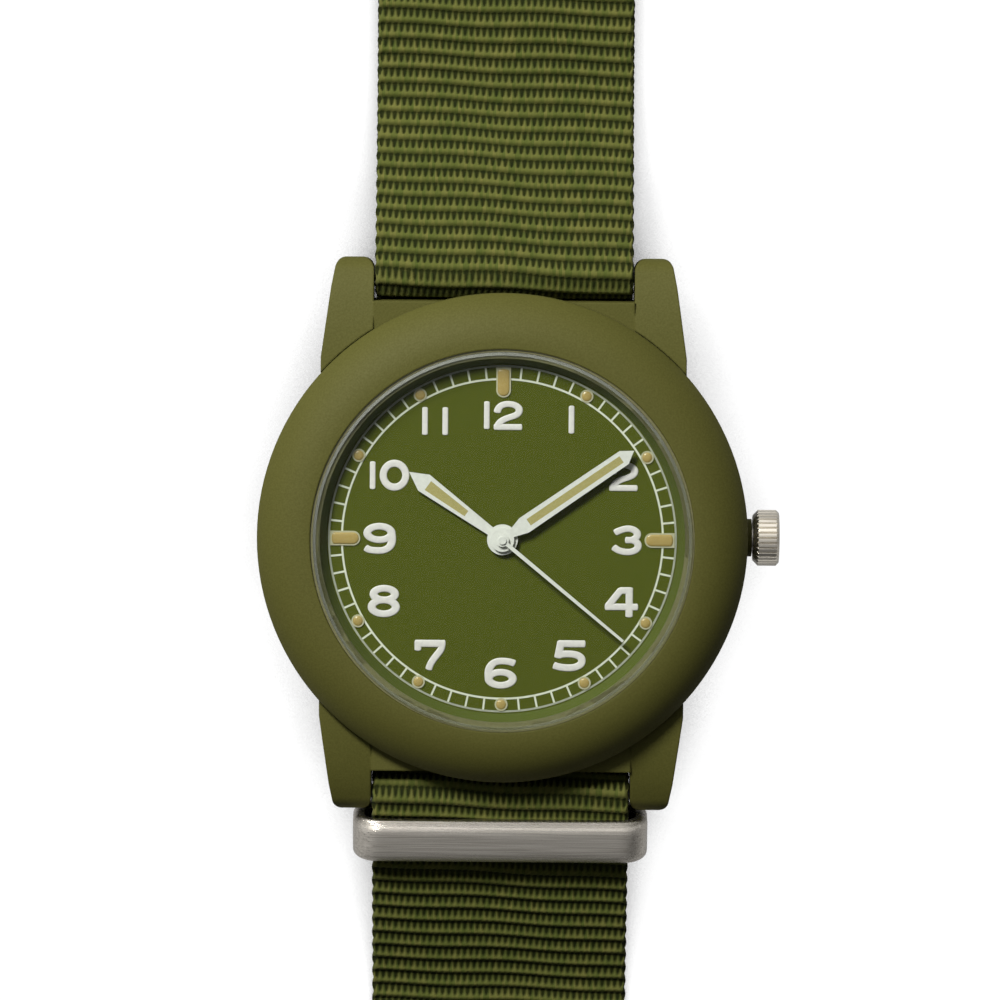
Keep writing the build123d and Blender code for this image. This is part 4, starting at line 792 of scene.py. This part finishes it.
# Each figure's strokes, in millimetres from the middle of its own box
figures = {
    "0": [ellipse(-0.01, -0.01, 0.862, 0.918)],
    "1": [[(0, 1.075), (0, -1.075)]],
    "2": [
        smooth_line([(-0.84, 0.16), (-0.8, 0.44), (-0.62, 0.68), (-0.36, 0.82), (0.07, 0.88),
                     (0.51, 0.78), (0.8, 0.58), (0.86, 0.345), (0.73, 0.08), (0.39, -0.08),
                     (-0.076, -0.225), (-0.46, -0.4), (-0.72, -0.64), (-0.84, -0.98)]),
        [(-1.11, -0.905), (1.09, -0.905)],
    ],
    "3": [
        smooth_line([(-0.93, 0.545), (-0.5, 0.77), (0.088, 0.925), (0.56, 0.82), (0.86, 0.54),
                     (0.76, 0.18), (0.42, 0.03)]),
        [(-0.126, 0.013), (0.66, 0.013)],
        smooth_line([(0.42, 0.02), (0.78, -0.12), (0.92, -0.4), (0.82, -0.68), (0.49, -0.87),
                     (0.035, -0.925), (-0.46, -0.84), (-0.76, -0.7), (-1.03, -0.49)]),
    ],
    "4": [
        [(0.598, 1.167), (0.598, -1.167)],
        [(-1.28, -0.362), (1.295, -0.362)],
        [(-1.09, -0.39), (0.01, 1.0)],
        [(-0.2, 0.9), (0.8, 0.9)],
    ],
    "5": [
        [(-0.86, 0.931), (1.274, 0.931)],
        [(-0.59, 1.15), (-0.85, -0.2)],
        smooth_line([(-0.8, 0.04), (-0.5, 0.13), (0.0, 0.155), (0.55, 0.1), (0.93, -0.1), (1.02, -0.38),
                     (0.92, -0.66), (0.59, -0.85), (0.19, -0.93), (-0.35, -0.92), (-0.8, -0.85),
                     (-1.2, -0.72)]),
    ],
    "6": [
        smooth_line([(1.1, 0.74), (0.7, 0.885), (0.13, 0.955), (-0.38, 0.89), (-0.74, 0.64),
                     (-0.93, 0.25), (-0.94, -0.1), (-0.92, -0.43)]),
        ellipse(0.0, -0.43, 0.925, 0.508),
    ],
    "7": [
        [(-1.193, 0.872), (1.2, 0.872)],
        [(-0.925, 1.08), (-0.925, 0.295)],
        smooth_line([(0.93, 0.98), (0.91, 0.483), (0.56, 0.027), (0.2, -0.43), (-0.013, -0.83),
                     (-0.105, -1.18)]),
    ],
    "8": [ellipse(0.032, 0.539, 0.818, 0.449), ellipse(0.0, -0.4425, 0.925, 0.534)],
    "9": [
        ellipse(-0.02, 0.416, 0.925, 0.523),
        smooth_line([(0.905, 0.42), (0.95, 0.05), (0.94, -0.25), (0.82, -0.6), (0.5, -0.84),
                     (0.142, -0.935), (-0.394, -0.93), (-0.8, -0.87), (-1.13, -0.69)]),
    ],
}
# Half the width of each figure's upright and of its level strokes
pens = {
    "0": (0.285, 0.285), "1": (0.226, 0.226), "2": (0.285, 0.24), "3": (0.29, 0.255),
    "4": (0.29, 0.268), "5": (0.305, 0.28), "6": (0.32, 0.265), "7": (0.268, 0.288),
    "8": (0.325, 0.272), "9": (0.32, 0.265),
}
# The middle of each figure's box on the dial
numerals = {
    "1": (5.21, 9.21), "2": (9.23, 4.9), "3": (9.5, -0.01), "4": (9.15, -4.78), "5": (5.17, -8.94),
    "6": (-0.04, -10.32), "7": (-5.48, -8.94), "8": (-9.04, -4.84), "9": (-9.385, -0.02),
}
numeral_pairs = {
    "12": ((-1.26, 9.5), (0.37, 9.51)),
    "10": ((-9.95, 4.83), (-8.27, 4.85)),
    "11": ((-5.98, 9.02), (-4.43, 9.02)),
}
stroke_thick = 0.07
stroke_end = 0.1


def figure(character, place):
    shapes = []
    wide, thick = pens[character]
    for line in figures[character]:
        moved = [(place[0] + x, place[1] + y) for x, y in line]
        shapes.append(stroke(moved, thick, dial_z - print_sink, dial_z + stroke_thick,
                             first_round=stroke_end, last_round=stroke_end, broad=wide / thick))
    return shapes


shapes = []
for character, place in numerals.items():
    shapes += figure(character, place)
for characters, places in numeral_pairs.items():
    for character, place in zip(characters, places):
        shapes += figure(character, place)
figure_paint = painted("figure_paint", (214, 210, 208), (222, 218, 214), roughness=0.5)
new_piece("numerals", *join(shapes), figure_paint, body="case", slot="hand_white")

# Luminous paint: a rounded fill that leaves a lighter rim on each plot
def dome(place, radius, low, high, rings=5, steps=28):
    vertices, faces = [(place[0], place[1], high)], []
    for ring_step in range(1, rings + 1):
        lean = pi / 2 * ring_step / rings
        for step in range(steps):
            turn = 2 * pi * step / steps
            reach = radius * sin(lean)
            vertices.append((place[0] + reach * cos(turn), place[1] + reach * sin(turn),
                             low + (high - low) * cos(lean)))
    for step in range(steps):
        faces.append((0, 1 + step, 1 + (step + 1) % steps))
        for ring_step in range(rings - 1):
            base = 1 + ring_step * steps
            beside = (step + 1) % steps
            faces.append((base + step, base + steps + step, base + steps + beside, base + beside))
    faces.append(tuple(1 + (rings - 1) * steps + step for step in range(steps))[::-1])
    return vertices, faces


plot_top = corners("hour_plots")[1].z
plot_sink = 0.02
plot_rise = 0.09
plot_rim = 0.11
plot_outer = 13.17
dot_place = 12.72
dot_radius = 0.5
plot_bar_half = 0.56
plot_bar_length = 2.3
plot_bar_start = plot_outer - plot_bar_length
plot_corner = 0.22
shapes = []
for hour in range(12):
    turn = radians(30 * hour)
    spoke = Vector((cos(turn), sin(turn)))
    if hour in (0, 3, 6):
        ends = [tuple(spoke * (plot_outer - plot_rim)), tuple(spoke * (plot_bar_start + plot_rim))]
        shapes.append(stroke(ends, plot_bar_half - plot_rim, plot_top - plot_sink, plot_top + plot_rise,
                             flat=0.6, first_round=plot_corner, sides=12))
    else:
        shapes.append(dome(tuple(spoke * dot_place), dot_radius - plot_rim, plot_top - plot_sink,
                           plot_top + plot_rise))
lume_fill = painted("lume_fill", (164, 139, 77), (171, 149, 88), roughness=0.22, grain=6.0, depth=0.004)
new_piece("lume_domes", *join(shapes), lume_fill, body="case", slot="lume")

# The crystal's ground chamfer: a narrow pale band round its top edge
crystal_high = corners("crystal")[1]
chamfer_size = 0.22
chamfer_lift = 0.012
crystal_reach, crystal_top = crystal_high.x, crystal_high.z
chamfer = hoop([
    (crystal_reach - chamfer_size - chamfer_lift, crystal_top),
    (crystal_reach - chamfer_lift, crystal_top - chamfer_size),
    (crystal_reach, crystal_top - chamfer_size + chamfer_lift),
    (crystal_reach - chamfer_size, crystal_top + chamfer_lift),
])
ground_glass = glass("ground_glass", (200, 202, 190), roughness=0.26, least=0.26)
new_piece("crystal_edge", *chamfer, ground_glass, body="case", slot="crystal_glass", smooth=False)

# Materials of the frame's own nodes, by material slot
finishes = {
    "case_resin": dull(moulded("case_resin", (82, 81, 34), (76, 75, 29), roughness=0.66, grain=7.0,
                               edge=0.22), 0.2),
    "crystal_glass": glass("crystal_glass"),
    "seal_rubber": moulded("seal_rubber", (18, 18, 17), (24, 24, 22), roughness=0.6),
    "dial_paint": dull(painted("dial_paint", (74, 81, 16), (78, 84, 20), roughness=0.5, grain=2.0), 0.1),
    "flange_paint": dull(painted("flange_paint", (78, 88, 34), (82, 90, 38), roughness=0.4), 0.15),
    "lume": painted("lume_paint", (160, 150, 92), (168, 158, 100), roughness=0.7, grain=6.0, depth=0.01),
    "hand_white": painted("hand_paint", (214, 214, 208), (222, 222, 216), roughness=0.35),
    "holder_plastic": moulded("holder_plastic", (200, 200, 194), (190, 190, 184)),
    "plate_plastic": moulded("plate_plastic", (46, 48, 50), (38, 40, 42)),
    "steel_small": brushed("steel_small", (190, 188, 182), (170, 168, 162)),
    "stator_iron": brushed("stator_iron", (150, 150, 150), (130, 130, 130), roughness=0.4),
    "copper_wire": brushed("copper_wire", (190, 110, 52), (160, 84, 36), stretch=(12.0, 0.2, 0.2)),
    "cell_steel": brushed("cell_steel", (200, 200, 198), (186, 186, 184)),
    "board_green": painted("board_green", (24, 78, 40), (20, 66, 34)),
    "can_metal": brushed("can_metal", (206, 206, 200), (190, 190, 184), roughness=0.2),
    "wheel_resin": moulded("wheel_resin", (224, 220, 202), (214, 208, 190)),
    "wheel_brass": brushed("wheel_brass", (206, 170, 92), (186, 150, 76)),
    "back_steel": brushed("back_steel", (178, 174, 166), (160, 156, 148)),
    "crown_steel": brushed("crown_steel", (214, 208, 196), (190, 184, 172), stretch=(0.3, 6.0, 6.0),
                           roughness=0.26, edge=0.06),
    "keeper_steel": brushed("keeper_steel", (212, 206, 196), (182, 176, 166), roughness=0.24, edge=1.3),
    "webbing": web,
}
# Finishes of nodes that differ from their slot
finishes["plot_rim"] = painted("plot_rim", (172, 168, 136), (180, 176, 146), roughness=0.5)
finishes["seal_nylon"] = moulded("seal_nylon", (112, 110, 74), (100, 98, 64), roughness=0.3)
# Painted shade: the spring bars, their springs and their tips are near-black, standing for the shadow in the
# narrow gaps beside the lugs.
finishes["painted_shade_steel"] = painted("painted_shade_steel", (44, 43, 40), (36, 35, 32), roughness=0.5)
node_finishes = {
    "hour_plots": "plot_rim", "crystal_gasket": "seal_nylon", "spring_bars": "painted_shade_steel",
    "spring_bar_springs": "painted_shade_steel",
    "upper_left_bar_tip": "painted_shade_steel", "upper_right_bar_tip": "painted_shade_steel",
    "lower_left_bar_tip": "painted_shade_steel", "lower_right_bar_tip": "painted_shade_steel",
}
for entry in frame["record"]["subparts"]:
    cad_node = frame["nodes"][entry["node"]]
    cad_node.data.materials.clear()
    finish_name = node_finishes.get(entry["node"], entry["material_slot"])
    cad_node.data.materials.append(finishes[finish_name])

# Floor, camera and light
floor_half = 1500.0
floor_drop = 0.05
floor_lift = 0.88
floor_glow = 1.2
mirrored_share = 0.35
shadow_reach = 10.0
shadow_full = 0.25
shadow_none = 0.55
shadow_colour = linear(12, 12, 10)
lit_colour = linear(130, 130, 130)
floor = new_piece(
    "floor",
    [(-floor_half, -floor_half, -floor_drop), (floor_half, -floor_half, -floor_drop),
     (floor_half, floor_half, -floor_drop), (-floor_half, floor_half, -floor_drop)],
    [(0, 1, 2, 3)],
    material("pale_floor", (190, 190, 190), 0.9),
    smooth=False,
)
pale = floor.data.materials[0]
path = node(pale, "LightPath")
mirrored = node(pale, "Math", {0: path.outputs["Is Glossy Ray"], 1: mirrored_share},
                operation="MULTIPLY")
seen = node(pale, "Math", {0: path.outputs["Is Camera Ray"], 1: mirrored.outputs["Value"]},
            operation="MAXIMUM")
seen = node(pale, "Math", {0: seen.outputs["Value"], 1: path.outputs["Is Transmission Ray"]},
            operation="MAXIMUM")
# Painted shadow: where the watch closes the floor in, its colour darkens towards shadow_colour and its glow fades.
open_air = node(pale, "AmbientOcclusion", {"Distance": shadow_reach * mm}, samples=4)
open_share = node(pale, "MapRange", {"Value": open_air.outputs["AO"], "From Min": shadow_full,
                                     "From Max": shadow_none, "To Max": floor_lift})
shaded_floor = node(pale, "MixRGB", {"Fac": open_share.outputs["Result"],
                                     "Color1": shadow_colour, "Color2": lit_colour})
feed(pale, shader_of(pale), "Base Color", shaded_floor.outputs["Color"])
lift = node(pale, "Math", {0: seen.outputs["Value"], 1: open_share.outputs["Result"]},
            operation="MULTIPLY")
glow = node(pale, "Emission", {"Color": (1.0, 1.0, 1.0, 1.0), "Strength": floor_glow})
mixed = node(pale, "MixShader", {"Fac": lift.outputs["Value"]})
pale.node_tree.links.new(shader_of(pale).outputs["BSDF"], mixed.inputs[1])
pale.node_tree.links.new(glow.outputs["Emission"], mixed.inputs[2])
surface = next(n for n in pale.node_tree.nodes if n.type == "OUTPUT_MATERIAL").inputs["Surface"]
pale.node_tree.links.new(mixed.outputs["Shader"], surface)

world = bpy.data.worlds.new("studio")
bpy.context.scene.world = world
world.use_nodes = True
sky = world.node_tree.nodes["Background"]
sky.inputs["Color"].default_value = (1.0, 1.0, 1.0, 1.0)
sky_low = 0.0
sky_high = 0.48
sky_falloff = 3.8
gloss_low = 0.06
gloss_high = 1.55
gloss_falloff = 1.7
light_side = Vector((-0.42, 0.86, 0.3)).normalized()
heading = node(world, "TexCoord").outputs["Generated"]
facing = node(world, "VectorMath", {0: heading, 1: light_side}, operation="DOT_PRODUCT")
raised = node(world, "MapRange", {"Value": facing.outputs["Value"], "From Min": -1.0})
curve = node(world, "Math", {0: raised.outputs["Result"], 1: sky_falloff}, operation="POWER")
soft_sky = node(world, "MapRange", {"Value": curve.outputs["Value"], "To Min": sky_low,
                                    "To Max": sky_high})
gloss_curve = node(world, "Math", {0: raised.outputs["Result"], 1: gloss_falloff},
                   operation="POWER")
gloss_sky = node(world, "MapRange", {"Value": gloss_curve.outputs["Value"], "To Min": gloss_low,
                                     "To Max": gloss_high})
rays = node(world, "LightPath")
sky_seen = node(world, "MixRGB", {"Fac": rays.outputs["Is Glossy Ray"],
                                  "Color1": soft_sky.outputs["Result"],
                                  "Color2": gloss_sky.outputs["Result"]})
brightness = node(world, "MixRGB", {"Fac": rays.outputs["Is Camera Ray"],
                                    "Color1": sky_seen.outputs["Color"],
                                    "Color2": (1.0, 1.0, 1.0, 1.0)})
world.node_tree.links.new(brightness.outputs["Color"], sky.inputs["Strength"])


key_place = (-130, 215, 270)
key_size = 105
key_watts = 1.71
key_colour = (1.0, 0.985, 0.955)


def lamp(name, place, target, size, watts, colour):
    """An area lamp; its place, target and size are in millimetres."""
    data = bpy.data.lights.new(name, "AREA")
    data.shape = "DISK"
    data.size = size * mm
    data.energy = watts
    data.color = colour
    light = bpy.data.objects.new(name, data)
    light.location = Vector(place) * mm
    light.rotation_euler = (Vector(target) - Vector(place)).to_track_quat("-Z", "Y").to_euler()
    bpy.context.scene.collection.objects.link(light)


lamp("key", key_place, (0, 0, 0), key_size, key_watts, key_colour)

centre_x = (photo_pixels / 2 - dial_pixel[0]) / pixels_per_mm
centre_y = (dial_pixel[1] - photo_pixels / 2) / pixels_per_mm / cos(camera_lean)
target = Vector((centre_x, centre_y, dial_z))
away = Vector((0, sin(camera_lean), cos(camera_lean)))
camera_data = bpy.data.cameras.new("camera")
camera_data.sensor_width = sensor_width
camera_data.lens = pixels_per_mm * sensor_width * camera_distance / photo_pixels
camera_data.clip_start = 0.01
camera_data.clip_end = 10.0
camera = bpy.data.objects.new("camera", camera_data)
bpy.context.scene.collection.objects.link(camera)
camera.location = (target + away * camera_distance) * mm
right = Vector((1, 0, 0))
up = away.cross(right)
turned = Matrix((right, up, away)).transposed() @ Matrix.Rotation(camera_roll, 3, "Z")
camera.rotation_euler = turned.to_euler()
bpy.context.scene.camera = camera
bpy.context.scene.view_settings.view_transform = "Standard"
